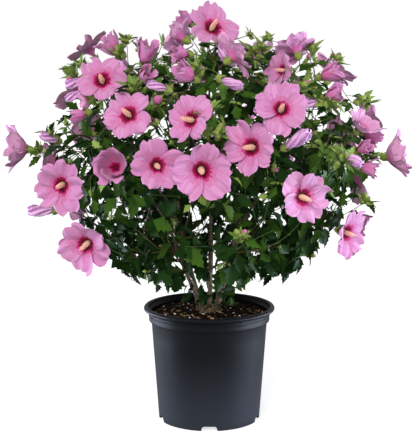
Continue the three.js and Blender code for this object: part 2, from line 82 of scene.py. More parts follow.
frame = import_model()

MM = 0.001
ROOT = "root"
POT_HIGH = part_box("pot")[1]
SOIL_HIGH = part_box("potting_mix")[1]
CROWN_LOW, CROWN_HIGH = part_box("root_crown")
NODES = sorted(frame["nodes"])
FOLIAGE = [name for name in NODES if name.startswith("foliage_")]
WOOD = [name for name in NODES if name.startswith(("stem_", "bough_", "leader", "root_crown"))]

# ------------------------------------------------------------- growth, as the solids grow, in mm

SEED, MASS_SEED_STEP = 20417, 101
SEED_ON = {"leaves": 3, "suckers": 5, "fine": 7, "blooms": 11, "buds": 13}  # added to the seed
UP = Vector((0, 0, 1))
GROUND = 1000 * SOIL_HIGH.z + 0.3
CROWN_CENTRE, REACH = Vector((0, 0, 560)), Vector((370, 330, 310))
STEMS = 8  # and a leader in the middle
STEM = {"spread": 17, "foot": 5.6, "tip": 3.0, "lean": 0.6, "steps": 6}
LEADER_LEAN, STEM_FOOT = 0.04, 12
BOUGH = {"foot": 3.3, "tip": 2.3, "steps": 3}
TWIG_STEPS, LIMB_STEPS = 2, 44
FORK_SHARES = (0.3, 0.45, 0.6, 0.75)
STALK = 14
# Rings of masses, which are the middle, low, upper and inner ones: count, how far out, height,
# turn, how far up the stem the bough forks off, and leafy shoots.
TIERS = (
    (8, 0.66, 566, 0, 1, 3),
    (8, 0.6, 428, 0.5, 0.4, 4),
    (6, 0.47, 722, 0.5, 0.6, 3),
    (3, 0.2, 545, 0.1, 0.52, 3),
)
TOP_HEIGHT, TOP_SHOOTS = 790, 3
UNEVEN_TURN, UNEVEN_HEIGHT = 0.24, 34
SHOOT = {"space": 300, "room": 40, "tries": 20, "out": 0.87}
ENTRY = {"inwards": 0.62, "below": 70}  # where a limb enters its mass, seen from its centre
SPINE = {"gap": 0.3, "straight": 30, "beyond": 40}
GOLDEN_ANGLE, GOLDEN_SHARE = math.radians(137.508), 0.618034
FRONT_INSET = 0.93
# Blooms on the shrub's full side: place across, height, the way they face, and breadth.
FRONT = {
    "open": (
        (1, 821, 20, 33, 98), (-46, 804, -118, 24, 74), (36, 766, 115, 33, 88),
        (174, 775, -165, 48, 80), (150, 746, -58, 6, 70), (-206, 721, -5, 26, 92),
        (-147, 661, -22, 24, 92), (-27, 656, -38, 10, 94), (132, 670, 4, 22, 98),
        (85, 607, -32, 4, 100), (-17, 570, 4, -4, 106), (-100, 575, 10, -2, 90),
        (167, 514, 28, -6, 100), (260, 428, 46, -8, 96), (-285, 526, -14, -4, 100),
        (-237, 410, -22, -14, 104),
    ),
    "cup": (
        (-376, 582, -82, 4, 88), (366, 566, 82, 12, 86), (294, 628, 50, 50, 60),
        (-232, 690, -92, -22, 40),
    ),
    "trumpet": (
        (-29, 732, -70, 26, 44), (-126, 760, 30, 62, 48), (-180, 775, -80, 50, 48),
        (-132, 728, 40, 30, 36), (-36, 838, -60, 30, 34), (-40, 776, -75, 10, 34),
        (217, 733, 75, 24, 44), (224, 694, 60, 20, 40), (-238, 665, -75, -14, 36),
        (306, 622, 78, -14, 40), (292, 588, 50, 30, 32), (298, 556, 75, -4, 34),
        (-176, 566, -4, 10, 58),
    ),
    "rolled": (
        (142, 606, 64, 32, 54), (254, 590, 60, -26, 46), (209, 684, -80, 0, 40),
        (-325, 453, -88, 0, 54), (-302, 607, -50, 20, 40), (-243, 725, -95, -10, 42),
        (-245, 704, -90, -20, 38), (-80, 712, -85, 20, 38), (-101, 690, 40, 30, 36),
        (22, 731, 75, -22, 42), (20, 800, 20, -50, 42),
    ),
}
BACK = {"blooms": 22, "low": 400, "high": 780, "inset": 0.9}
BACK_KINDS = ("open", "open", "trumpet", "open", "rolled")
BACK_SIZES = {"open": 94, "trumpet": 50, "rolled": 40}

# The finer growth, which the solids leave out. How far out it goes changes with the height: the
# crown is slim below, and at the top single sprays and blooms stand out of it.
FINE = {"steps": 10, "tries": 10, "out": 0.93}
FINE_OUT = ((300, 0.9), (360, 0.86), (430, 0.82), (600, 0.93), (780, 0.72))
LEAFY = {"spine": (0.3, 0.99), "bloom": (0.2, 0.86), "basal": (0.35, 0.99)}  # along a twig
LEAFY_ELSE = (0.12, 0.99)
LEAF_TRIES = (0, 1.3, -1.3, 2.6)  # turns where a leaf's place is taken
# How far out a leaf's tip may lie, by height, and on a spray. The lowest hang round the middle,
# and less low by a share of their place across.
LEAF = {"on_spray": 1.12, "low": 268, "low_rise": 0.2}
LEAF_OUT = ((300, 0.96), (350, 0.92), (400, 0.87), (440, 0.88), (600, 1.0), (780, 0.82))
# The share of the leaves that is kept, by height, and inside the crown.
LEAVES_KEPT = ((290, 0.6), (380, 0.94), (560, 0.98), (660, 0.78), (760, 0.54))
SHADED = {"depth": 0.62, "kept": 0.95}
# A leaf's length along its twig, and how much chance changes it.
LEAF_SIZE = {"along": (1.08, 0.72), "by_chance": (0.74, 1.16), "sucker": 0.7}
# How far it droops, low and high in the crown, how far it leans forwards, or the last one on its
# twig does, and how widely its green varies.
DROOP = {"span": (1.6, 0.12), "from": 300, "over": 480, "by_chance": (0.5, 1.4)}
LEAF_FORWARDS, LAST_FORWARDS, SHADE_SPREAD = 0.3, 1.1, 0.34
BARE = {"left": -95, "right": 30, "top": 335, "kept": 0.22}  # few grow round the stems' feet
BLOOM_CLEAR = {"behind": -9, "ahead": 95, "share": 0.86}  # space kept open before each bloom
# Sprays of buds that stand out of the crown's full side: place across and height.
BUD_SPRAYS = (
    (-165, 820), (-257, 771), (-282, 756), (-314, 634), (-350, 597), (-144, 730), (83, 798),
    (202, 796), (258, 778), (100, 800), (176, 729), (232, 696), (302, 700), (322, 694), (320, 590),
    (57, 453), (-2, 685), (15, 651), (-177, 795), (-25, 767), (-268, 746), (259, 595), (312, 500),
)
SPRAY_DROP, SPRAY_INSET = 14, 0.97  # their twigs end lower, by half a spray
TIP_ROOM = 6  # between the tip of a fine shoot and a bloom's space
BASAL_SHOOTS = 9

Place = namedtuple("Place", "centre stem fork_at shoots")
Fork = namedtuple("Fork", "point direction twig")
Bloom = namedtuple("Bloom", "kind size base face")
Leaf = namedtuple("Leaf", "point direction upper length tone tender")


def stream(seed):
    """Numbers from 0 to 1 that are the same on every run, as the solids draw them."""
    state = seed & 0xFFFFFFFF

    def draw():
        nonlocal state
        state = (state + 0x6D2B79F5) & 0xFFFFFFFF
        t = ((state ^ (state >> 15)) * (1 | state)) & 0xFFFFFFFF
        t = ((t + (((t ^ (t >> 7)) * (61 | t)) & 0xFFFFFFFF)) & 0xFFFFFFFF) ^ t
        return (t ^ (t >> 14)) / 4294967296

    return draw


def mix(a, b, share):
    return a + (b - a) * share


def scaled(point, by):
    return Vector([a / b for a, b in zip(point, by)])


def outward(point):
    """The crown's outward direction at a point."""
    return scaled(scaled(point - CROWN_CENTRE, REACH), REACH).normalized()


def depth_of(point):
    """How far out a point lies in the crown, 1 on its surface."""
    return scaled(point - CROWN_CENTRE, REACH).length


def drawn_in(point, share):
    return CROWN_CENTRE + (point - CROWN_CENTRE) * min(1, share / depth_of(point))


def sideways(direction, angle):
    """A unit vector at right angles to a direction, turned round it."""
    reference = UP if abs(direction.z) < 0.9 else Vector((1, 0, 0))
    return Quaternion(direction, angle) @ direction.cross(reference).normalized()


def facing(yaw, pitch):
    a, b = math.radians(yaw), math.radians(pitch)
    return Vector((math.sin(a) * math.cos(b), -math.cos(a) * math.cos(b), math.sin(b)))


def crown_point(out, height, angle):
    return Vector((REACH.x * out * math.cos(angle), REACH.y * out * math.sin(angle), height))


def at_height(z, stops):
    """A value that changes with the height, from rows of a height and the value there."""
    return float(np.interp(z, *zip(*stops)))


def crown_front(x, z, inset):
    """The point at a place across and a height, on the full side of the inset crown."""
    across = (x / (REACH.x * inset)) ** 2 + ((z - CROWN_CENTRE.z) / (REACH.z * inset)) ** 2
    return Vector((x, -REACH.y * inset * math.sqrt(max(0.01, 1 - across)), z))


def curve_points(start, leaving, end, arriving, steps):
    """Points along a smooth curve that leaves a point one way and arrives another way."""
    reach = (end - start).length / 3
    a, b = start + leaving * reach, end - arriving * reach
    shares = [i / steps for i in range(steps + 1)]
    return [
        start * (1 - t) ** 3 + a * 3 * t * (1 - t) ** 2 + b * 3 * t * t * (1 - t) + end * t**3
        for t in shares
    ]


def direction_at(points, i):
    return (points[min(i + 1, len(points) - 1)] - points[max(i - 1, 0)]).normalized()


def lerped(direction, straight, share):
    return direction.lerp(straight, share).normalized()


def mass_places():
    """Where the masses stand, ring by ring, and the stem that each belongs to."""
    chance = stream(SEED)
    places = []
    for count, out, height, turn, fork_at, shoots in TIERS:
        for i in range(count):
            step = 2 * math.pi * (i + turn) / count
            angle = -math.pi / 2 + step + UNEVEN_TURN * (chance() - 0.5)
            centre = crown_point(out, height + UNEVEN_HEIGHT * (chance() - 0.5), angle)
            stem = math.floor((i + turn) * STEMS / count + 0.01) % STEMS
            places.append(Place(centre, stem, fork_at, shoots))
    return [*places, Place(Vector((0, 0, TOP_HEIGHT)), STEMS, 1, TOP_SHOOTS)]


def entry_of(centre):
    """Where a limb enters its mass, and the way it points there."""
    share = ENTRY["inwards"]
    inwards = Vector((share * centre.x, share * centre.y, centre.z - ENTRY["below"]))
    return inwards, (centre - inwards).normalized()


def grow_limbs(places):
    """The stems with their leader, then the boughs: each a coarse path, as the solids have it,
    a fine one along the same curve, and its radii at foot and tip."""
    stems, boughs = [], []
    for place in places:
        if place.fork_at == 1:
            leader = place.stem == STEMS
            angle = math.atan2(place.centre.y, place.centre.x)
            way = Vector((math.cos(angle), math.sin(angle), 0))
            start = way * (0 if leader else STEM["spread"]) + UP * (GROUND + STEM_FOOT)
            leaving = (way * (LEADER_LEAN if leader else STEM["lean"]) + UP).normalized()
            size, found = STEM, stems
        else:
            parent = stems[place.stem].coarse
            i = math.floor(place.fork_at * (len(parent) - 1) + 0.5)
            start = parent[i]
            straight = (entry_of(place.centre)[0] - start).normalized()
            leaving = lerped(direction_at(parent, i), straight, 0.6)
            size, found = BOUGH, boughs
        ends = (start, leaving, *entry_of(place.centre))
        coarse, fine = (curve_points(*ends, steps) for steps in (size["steps"], LIMB_STEPS))
        found.append(SimpleNamespace(place=place, coarse=coarse, fine=fine, **size))
    return stems + boughs


def all_blooms():
    """All blooms: those on the full side from their rows, and the rest by a rule."""
    chance = stream(SEED)
    blooms = [
        Bloom(kind, size, crown_front(x, z, FRONT_INSET), facing(yaw, pitch))
        for kind, rows in FRONT.items()
        for x, z, yaw, pitch, size in rows
    ]
    for i in range(BACK["blooms"]):
        z = mix(BACK["low"], BACK["high"], (i + 0.5) / BACK["blooms"])
        angle = math.pi * (0.02 + 0.96 * ((i * GOLDEN_SHARE) % 1))
        rise = (z - CROWN_CENTRE.z) / REACH.z
        base = crown_point(BACK["inset"] * math.sqrt(1 - rise * rise), z, angle)
        face = (outward(base) + UP * 0.5 * chance()).normalized()
        kind = BACK_KINDS[i % len(BACK_KINDS)]
        blooms.append(Bloom(kind, BACK_SIZES[kind], base, face))
    return blooms


def nearest(point, masses):
    return min(masses, key=lambda mass: (mass.centre - point).length)


def shoot_tips(mass, masses, chance, shoots, tries, room, out):
    """Tips spread evenly over a mass's own space: of a few chances each time, the one that
    stands furthest from the tips that are there."""
    tips = []
    for _ in range(shoots):
        best, best_room = None, -1
        for _ in range(tries):
            offset = Vector((chance() - 0.5, chance() - 0.5, chance() - 0.5))
            tip = drawn_in(offset * SHOOT["space"] + mass.centre, out)
            if nearest(tip, masses) is not mass:
                continue
            free = min([(tip - other).length for other in mass.tips + tips] + [1e3])
            if free > best_room:
                best, best_room = tip, free
        if best_room > room:
            tips.append(best)
    return sorted(tips, key=lambda tip: (tip - mass.centre).length)


def place_on(path, share):
    """The point at a share of a path, and the path's direction there."""
    at = share * (len(path) - 1)
    i = min(int(at), len(path) - 2)
    return path[i].lerp(path[i + 1], at - i), (path[i + 1] - path[i]).normalized()


def forks_along(path, twig):
    return [Fork(*place_on(path, share), twig) for share in FORK_SHARES]


def fork_towards(forks, tip):
    """The free fork from which a twig best reaches a tip: near, and forwards."""

    def cost(fork):
        way = tip - fork.point
        return way.length * (1 + 1.2 * way.angle(fork.direction, 0) ** 2)

    return min(forks, key=cost)


def seat(point, path):
    """The point of a path that is nearest to another."""
    spots = []
    for a, b in zip(path, path[1:]):
        along = b - a
        share = max(0, min(1, (point - a).dot(along) / max(along.length_squared, 1e-9)))
        spots.append(a + along * share)
    return min(spots, key=lambda spot: (spot - point).length)


def grow_twig(mass, tip, kind, arriving=None):
    """Grows a twig from the mass's best free fork to a tip."""
    fork = fork_towards(mass.forks, tip)
    straight = (tip - fork.point).normalized()
    leaving, arriving = lerped(fork.direction, straight, 0.5), arriving or straight
    coarse = curve_points(fork.point, leaving, tip, arriving, TWIG_STEPS)
    foot = seat(fork.point, fork.twig.fine)
    fine = curve_points(foot, leaving, tip, arriving, FINE["steps"])
    twig = SimpleNamespace(fine=fine, parent=fork.twig, kind=kind, load=1)
    mass.forks = [other for other in mass.forks if other is not fork] + forks_along(coarse, twig)
    mass.twigs.append(twig)


def blocked(points, blooms, spare=0):
    """Whether any of the points lies in the space that is kept open before the blooms."""
    for bloom in blooms:
        full = 0.5 * bloom.size if bloom.kind == "open" else 0.32 * bloom.size
        for point in points:
            way = point - bloom.base
            ahead = way.dot(bloom.face)
            if not BLOOM_CLEAR["behind"] < ahead < BLOOM_CLEAR["ahead"]:
                continue
            # The space is narrower at the calyx than at the rim.
            rise = max(0.5, min(1, ahead / (0.5 * full)))
            if (way - bloom.face * ahead).length < full * BLOOM_CLEAR["share"] * rise + spare:
                return True
    return False


def bare(point):
    return point.z < BARE["top"] and BARE["left"] < point.x < BARE["right"]


def open_mass(limb):
    """A mass of foliage at a limb's end, with no twig yet but its spine."""
    along = direction_at(limb.coarse, len(limb.coarse) - 1)
    foot, beyond = limb.coarse[-1], limb.place.centre + along * SPINE["beyond"]
    start, end = foot + along * SPINE["gap"], foot + along * SPINE["straight"]
    fine = curve_points(foot, along, end, (beyond - start).normalized(), 4)
    fine += [end.lerp(beyond, (k + 1) / 6) for k in range(6)]
    spine = SimpleNamespace(fine=fine, parent=None, kind="spine", load=1)
    forks = forks_along([start, end, beyond], spine) + [Fork(beyond, along, spine)]
    return SimpleNamespace(centre=limb.place.centre, forks=forks, twigs=[spine], tips=[])


@functools.cache
def shrub():
    """Everything that grows: limbs, twigs, blooms and leaves."""
    growth = bpy.context.scene.shrub_growth
    places, blooms = mass_places(), all_blooms()
    limbs = grow_limbs(places)
    masses = [open_mass(next(limb for limb in limbs if limb.place is place)) for place in places]
    for bloom in blooms:
        mass = nearest(bloom.base, masses)
        grow_twig(mass, bloom.base - bloom.face * STALK, "bloom", bloom.face)
        mass.tips.append(bloom.base)
    rule = (SHOOT["tries"], SHOOT["room"], SHOOT["out"])
    for i, (mass, place) in enumerate(zip(masses, places)):
        chance = stream(SEED + MASS_SEED_STEP * i)
        tips = shoot_tips(mass, masses, chance, place.shoots, *rule)
        for tip in tips:
            grow_twig(mass, tip, "shoot")
        mass.tips += tips
    for x, z in BUD_SPRAYS:
        tip = crown_front(x, z - SPRAY_DROP, SPRAY_INSET)
        mass = nearest(tip, masses)
        grow_twig(mass, tip, "spray", (outward(tip) + UP).normalized())
        mass.tips.append(tip)
    rule = (FINE["tries"], growth.shoot_room / MM, FINE["out"])
    for i, mass in enumerate(masses):
        chance = stream(SEED + MASS_SEED_STEP * i + SEED_ON["fine"])
        for tip in shoot_tips(mass, masses, chance, growth.fine_shoots, *rule):
            tip = drawn_in(tip, at_height(tip.z, FINE_OUT))
            if not blocked([tip], blooms, TIP_ROOM) and not bare(tip):
                grow_twig(mass, tip, "fine")
    twigs = [twig for mass in masses for twig in mass.twigs]
    for twig in twigs:
        parent = twig.parent
        while parent:
            parent.load += 1
            parent = parent.parent
    twigs += basal_twigs()
    leaves = leaves_on(twigs, blooms, growth)
    return SimpleNamespace(limbs=limbs, twigs=twigs, blooms=blooms, leaves=leaves)


def basal_twigs():
    """A few short suckers round the root crown, bowed out over the mix."""
    chance = stream(SEED + SEED_ON["suckers"])
    found = []
    for i in range(BASAL_SHOOTS):
        angle = -math.pi / 2 + 2 * math.pi * (i + 0.7 * chance()) / BASAL_SHOOTS
        way = Vector((math.cos(angle), math.sin(angle), 0))
        start = way * 24 + UP * (GROUND + 4)
        end = way * (40 + 26 * chance()) + UP * (GROUND + 24 + 52 * chance())
        leaving = (way + UP * 1.4).normalized()
        arriving = (way * 1.2 + UP * 0.2).normalized()
        fine = curve_points(start, leaving, end, arriving, FINE["steps"])
        found.append(SimpleNamespace(fine=fine, parent=None, kind="basal", load=1))
    return found


def leaves_on(twigs, blooms, growth):
    """The leaves of all twigs, in a spiral on each: longer and lower down, shorter at the tip.
    A leaf that would leave the crown or stand before a bloom is turned round its twig, and left
    out where that doesn't help."""
    chance = stream(SEED + SEED_ON["leaves"])
    spacing, longest = growth.leaf_spacing / MM, growth.leaf_length / MM
    leaves = []
    for twig in twigs:
        basal = twig.kind == "basal"
        first, last = LEAFY.get(twig.kind, LEAFY_ELSE)
        reach = sum((b - a).length for a, b in zip(twig.fine, twig.fine[1:]))
        count = max(2, round(reach * (last - first) / spacing)) * (2 if basal else 1)
        turn, tone = 6 * chance(), chance()
        for i in range(count):
            t = mix(first, last, i / (count - 1))
            point, along = place_on(twig.fine, t)
            rise = max(0, min(1, (point.z - DROOP["from"]) / DROOP["over"]))
            drop = mix(*DROOP["span"], rise) * mix(*DROOP["by_chance"], chance())
            forwards = LAST_FORWARDS if i == count - 1 else LEAF_FORWARDS
            length = longest * mix(*LEAF_SIZE["along"], t) * mix(*LEAF_SIZE["by_chance"], chance())
            length *= LEAF_SIZE["sucker"] if basal else 1
            tilt, shade = 6 * chance(), SHADE_SPREAD * (chance() - 0.5)
            kept = 1.0 if depth_of(point) > SHADED["depth"] else SHADED["kept"]
            kept = BARE["kept"] if bare(point) else kept * at_height(point.z, LEAVES_KEPT)
            if chance() > kept and not basal:
                continue
            for step in LEAF_TRIES:
                side = sideways(along, turn + i * GOLDEN_ANGLE + step)
                direction = (side + along * forwards - UP * drop).normalized()
                tip = point + direction * length
                out = LEAF["on_spray"] if twig.kind == "spray" else at_height(tip.z, LEAF_OUT)
                low = LEAF["low"] + LEAF["low_rise"] * abs(tip.x)
                inside = tip.z > GROUND + 6 if basal else depth_of(tip) < out and tip.z > low
                blade = [point.lerp(tip, share) for share in (0.4, 0.7, 1)]
                if inside and not blocked(blade, blooms):
                    break
            else:
                continue
            upper = outward(point) + UP * 1.1 + sideways(direction, tilt) * 0.75
            tender = twig.kind in ("shoot", "spray", "fine") and i >= count - 2
            # Painted shade: leaves deeper inside the crown take a darker green.
            tone_with_painted_shade = tone + shade + 0.5 * (depth_of(point) - 0.75)
            leaves.append(Leaf(point, direction, upper, length, tone_with_painted_shade, tender))
    return leaves


# ---------------------------------------------------------------------------- mesh helpers


class Pile:
    """Points and faces, in mm, gathered for one joined mesh, with a material slot a face."""

    def __init__(self):
        self.points, self.faces, self.slots, self.count = [], [], [], 0

    def add(self, points, faces, slots=0):
        self.points.append(np.asarray(points, float).reshape(-1, 3))
        self.faces += [tuple(i + self.count for i in face) for face in faces]
        self.slots += slots if isinstance(slots, list) else [slots] * len(faces)
        self.count += len(self.points[-1])
        return self

    def mesh(self, name, materials=(), scale=MM):
        made = bpy.data.meshes.new(name)
        made.from_pydata(np.concatenate(self.points) * scale, [], self.faces)
        for material in materials:
            made.materials.append(material)
        made.polygons.foreach_set("material_index", self.slots)
        made.polygons.foreach_set("use_smooth", [True] * len(self.faces))
        made.update()
        return made

    def piece(self, name, *materials):
        return shown(name, self.mesh(name, materials))


def shown(name, data):
    """A mesh, lamp or camera as an object of the scene, at the origin."""
    obj = bpy.data.objects.new(name, data)
    bpy.context.scene.collection.objects.link(obj)
    return obj


def baked(obj):
    """Gives an object the shape that its modifiers make, as its own smooth mesh."""
    evaluated = obj.evaluated_get(bpy.context.evaluated_depsgraph_get())
    made = bpy.data.meshes.new_from_object(evaluated)
    obj.modifiers.clear()
    obj.data = made
    made.name = obj.name
    made.polygons.foreach_set("use_smooth", [True] * len(made.polygons))
    return obj


def stands_for(piece, nodes):
    """Every piece rides on the one body, and the solids that it stands for are hidden."""
    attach(piece, ROOT)
    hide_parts(*nodes)


def grid_faces(rows, columns, closed=False):
    """The quads of a grid of points, row by row. A closed grid's last column meets its first."""
    return [
        (i * columns + j, i * columns + (j + 1) % columns,
         (i + 1) * columns + (j + 1) % columns, (i + 1) * columns + j)
        for i in range(rows - 1)
        for j in range(columns if closed else columns - 1)
    ]


def capped(rows, sides, foot=True):
    """The faces of a closed grid, whose ends are drawn to points that follow its own: one for
    its foot, if it has any there, and one for its top."""
    faces = grid_faces(rows, sides, closed=True)
    end, top = rows * sides, (rows - 1) * sides
    if foot:
        faces += [(end, (j + 1) % sides, j) for j in range(sides)]
        end += 1
    return faces + [(end, top + j, top + (j + 1) % sides) for j in range(sides)]


def turns_of(count):
    return np.arange(count) * 2 * math.pi / count


def rounded(radius, turns, height):
    """Points round +Z, row by row."""
    across = (radius * np.cos(turns), radius * np.sin(turns), height + 0 * turns)
    return np.stack(across, axis=-1).reshape(-1, 3)


def lathe(profile, segments, wobble=None):
    """A closed shape turned round +Z from a profile of (radius, height), which starts and ends
    on the axis. wobble moves its points."""
    radius, height = np.array(profile[1:-1], float).T[..., None]
    points = rounded(radius, turns_of(segments), height)
    if wobble:
        points = np.array([wobble(*p) for p in points])
    ends = [[0, 0, profile[0][1]], [0, 0, profile[-1][1]]]
    return np.concatenate([points, ends]), capped(len(profile) - 2, segments)


def tube(path, radii, sides, relief=0.0):
    """A closed tube along a path of points. relief gives the share of its radius by which each
    of its points stands out."""
    path = np.array(path, float)
    along = np.gradient(path, axis=0)
    along /= np.linalg.norm(along, axis=1)[:, None]
    reference = np.array(sideways(Vector(path[-1] - path[0]).normalized(), 0))
    u = np.cross(along, reference)
    u /= np.linalg.norm(u, axis=1)[:, None]
    v = np.cross(along, u)
    cos, sin = (wave(turns_of(sides))[None, :, None] for wave in (np.cos, np.sin))
    spread = np.array(radii, float)[:, None] * (1 + relief)
    points = path[:, None] + spread[..., None] * (cos * u[:, None] + sin * v[:, None])
    tip = path[-1:] + along[-1:] * radii[-1]
    return np.concatenate([points.reshape(-1, 3), path[:1], tip]), capped(len(path), sides)


def turn_of(direction, upper):
    """The turn that lays a shape's +X along a direction and its +Z towards another."""
    across = upper.cross(direction)
    if across.length < 1e-6:
        across = sideways(direction, 0)
    across.normalize()
    axes = (direction, across, direction.cross(across))
    return Matrix(axes).transposed().to_quaternion()


# ------------------------------------------------------------------- nodes, for both kinds of tree


def linear(colour):
    """An sRGB hex colour as linear red, green, blue and alpha."""
    channels = [int(colour[i : i + 2], 16) / 255 for i in (1, 3, 5)]
    return (*[c / 12.92 if c <= 0.04045 else ((c + 0.055) / 1.055) ** 2.4 for c in channels], 1.0)


def feed(tree, sockets, values):
    """Gives inputs their values, or the outputs of other nodes."""
    for name, value in values.items():
        if isinstance(value, bpy.types.NodeSocket):
            tree.links.new(value, sockets[name])
        else:
            sockets[name].default_value = value


def add_node(tree, kind, inputs=None, **settings):
    """Adds a node, sets its properties and feeds its inputs."""
    node = tree.nodes.new(kind)
    for name, value in settings.items():
        setattr(node, name, value)
    feed(tree, node.inputs, inputs or {})
    return node


def enabled(sockets):
    return [socket for socket in sockets if socket.enabled]


def open_tree(name, sockets):
    """A new geometry tree with named inputs, its input node, and its output node."""
    tree = bpy.data.node_groups.new(name, "GeometryNodeTree")
    for label, kind in sockets.items():
        tree.interface.new_socket(label, in_out="INPUT", socket_type=f"NodeSocket{kind}")
    tree.interface.new_socket("Shapes Stood", in_out="OUTPUT", socket_type="NodeSocketGeometry")
    return tree, add_node(tree, "NodeGroupInput").outputs, add_node(tree, "NodeGroupOutput")


def attribute(tree, name, kind):
    node = add_node(tree, "GeometryNodeInputNamedAttribute", {"Name": name}, data_type=kind)
    return enabled(node.outputs)[0]


def drawn(tree, kind, low, high, seed):
    """A value drawn for each point."""
    node = add_node(tree, "FunctionNodeRandomValue", data_type=kind)
    feed(tree, enabled(node.inputs), {0: low, 1: high, -1: seed})
    return enabled(node.outputs)[0]


def stand_shapes(tree, entry, end, points, shape, turn, size):
    """Stands a collection's shapes on points, makes them real and gives them their finish."""
    whole = {"Collection": entry["Shapes"], "Separate Children": True, "Reset Children": True}
    shapes = add_node(tree, "GeometryNodeCollectionInfo", whole).outputs[0]
    inputs = {"Points": points, "Instance": shapes, "Pick Instance": True, "Instance Index": shape}
    inputs |= {"Rotation": turn, "Scale": size}
    stood = add_node(tree, "GeometryNodeInstanceOnPoints", inputs).outputs[0]
    real = add_node(tree, "GeometryNodeRealizeInstances", {"Geometry": stood}).outputs[0]
    inputs = {"Geometry": real, "Material": entry["Finish"]}
    done = add_node(tree, "GeometryNodeSetMaterial", inputs).outputs[0]
    tree.links.new(done, end.inputs[0])
    return tree


def spray_tree():
    """Stands one of a collection's shapes on each point, turned, sized and chosen by the
    point's own attributes."""
    inputs = {"Points": "Geometry", "Shapes": "Collection", "Size": "Float", "Finish": "Material"}
    tree, entry, end = open_tree("stand_shapes_on_points", inputs)
    sizes = {0: attribute(tree, "size", "FLOAT"), 1: entry["Size"]}
    size = add_node(tree, "ShaderNodeMath", sizes, operation="MULTIPLY").outputs[0]
    turn, shape = attribute(tree, "turn", "QUATERNION"), attribute(tree, "shape", "INT")
    return stand_shapes(tree, entry, end, entry["Points"], shape, turn, size)


def litter_tree():
    """Strews a collection's shapes over the faces of a mesh, each with its own turn and size."""
    inputs = {"Ground": "Geometry", "Shapes": "Collection", "Density": "Float", "Seed": "Int"}
    inputs |= {"Least Size": "Float", "Most Size": "Float", "Finish": "Material"}
    tree, entry, end = open_tree("strew_shapes_on_ground", inputs)
    seed = entry["Seed"]
    ground = {"Mesh": entry["Ground"], "Density": entry["Density"], "Seed": seed}
    spots = add_node(tree, "GeometryNodeDistributePointsOnFaces", ground).outputs[0]
    turn = drawn(tree, "FLOAT_VECTOR", (-0.5, -0.5, 0), (0.5, 0.5, 6.28), seed)
    size = drawn(tree, "FLOAT", entry["Least Size"], entry["Most Size"], seed)
    shape = drawn(tree, "INT", 0, CHIP_SHAPES - 1, seed)
    return stand_shapes(tree, entry, end, spots, shape, turn, size)


def made_by_nodes(name, mesh, tree, meshes, values):
    """A plain object that holds what a tree makes of a mesh and of shapes, which stand in a
    collection that no view layer shows."""
    shapes = bpy.data.collections.new(f"{name}_shape")
    for i, shape in enumerate(meshes):
        shapes.objects.link(bpy.data.objects.new(f"{name}_shape_{i}", shape))
    obj = shown(name, mesh)
    modifier = obj.modifiers.new("Growth", "NODES")
    modifier.node_group = tree
    values = {"Shapes": shapes, **values}
    for item in tree.interface.items_tree:
        if item.item_type == "SOCKET" and item.in_out == "INPUT" and item.name in values:
            modifier[item.identifier] = values[item.name]
    baked(obj)
    for shape in list(shapes.objects):
        bpy.data.objects.remove(shape)
    bpy.data.collections.remove(shapes)
    return obj


def spray(name, meshes, stands, material):
    """A piece of many shapes. stands holds, for each, its point in mm, its direction, the way
    of its upper side, its length in mm and which of the shapes it is."""
    mesh = bpy.data.meshes.new(f"{name}_points")
    mesh.from_pydata([stand[0] * MM for stand in stands], [], [])
    rows = {
        "turn": ("QUATERNION", [x for stand in stands for x in turn_of(*stand[1:3])]),
        "size": ("FLOAT", [stand[3] for stand in stands]),
        "shape": ("INT", [stand[4] for stand in stands]),
    }
    for label, (kind, row) in rows.items():
        mesh.attributes.new(label, kind, "POINT").data.foreach_set("value", row)
    piece = made_by_nodes(name, mesh, spray_tree(), meshes, {"Size": MM, "Finish": material})
    for label in rows:
        if label in piece.data.attributes:
            piece.data.attributes.remove(piece.data.attributes[label])
    return piece


# ------------------------------------------------------------------------------- materials


def plain(name, colour, roughness, sheen=0.0, specular=0.5):
    """A material of one colour, for pieces of many small shapes in several such colours."""
    material = bpy.data.materials.new(name)
    material.use_nodes = True
    tree = material.node_tree
    values = {"Base Color": tuple(colour), "Roughness": roughness, "Sheen Weight": sheen}
    feed(tree, tree.nodes["Principled BSDF"].inputs, {**values, "Specular IOR Level": specular})
    return material


def patterned(name, roughness, specular):
    """A material whose colour is still to come, its tree, its shader's inputs, and its
    coordinates in metres on the piece."""
    material = plain(name, (0, 0, 0, 1), roughness, specular=specular)
    tree = material.node_tree
    place = add_node(tree, "ShaderNodeTexCoord").outputs["Object"]
    return material, tree, tree.nodes["Principled BSDF"].inputs, place


def noise_of(tree, place, scale, detail):
    """A noise, with its scale in features a metre."""
    inputs = {"Vector": place, "Scale": scale, "Detail": detail}
    return add_node(tree, "ShaderNodeTexNoise", inputs).outputs[0]


def upright(tree, place, share):
    """Coordinates in which a pattern is drawn out upwards."""
    return add_node(tree, "ShaderNodeMapping", {"Vector": place, "Scale": (1, 1, share)}).outputs[0]


def ranged(tree, value, *spans, **settings):
    """A value taken from one span, given by its low and high ends, to another."""
    inputs = dict(zip(("Value", "From Min", "From Max", "To Min", "To Max"), (value, *spans)))
    return add_node(tree, "ShaderNodeMapRange", inputs, **settings).outputs[0]


def two_tone(tree, value, low, high, low_at=0.35, high_at=0.65):
    """A value as a colour that runs from one to another."""
    ramp = add_node(tree, "ShaderNodeValToRGB", {"Fac": value})
    for element, at, colour in zip(ramp.color_ramp.elements, (low_at, high_at), (low, high)):
        element.position, element.color = at, colour
    return ramp.outputs[0]


def blend(tree, share, first, second):
    node = add_node(tree, "ShaderNodeMix", data_type="RGBA")
    feed(tree, enabled(node.inputs), {0: share, 1: first, 2: second})
    return enabled(node.outputs)[0]


def bump(tree, height, strength, distance):
    inputs = {"Height": height, "Strength": strength, "Distance": distance}
    return add_node(tree, "ShaderNodeBump", inputs).outputs[0]


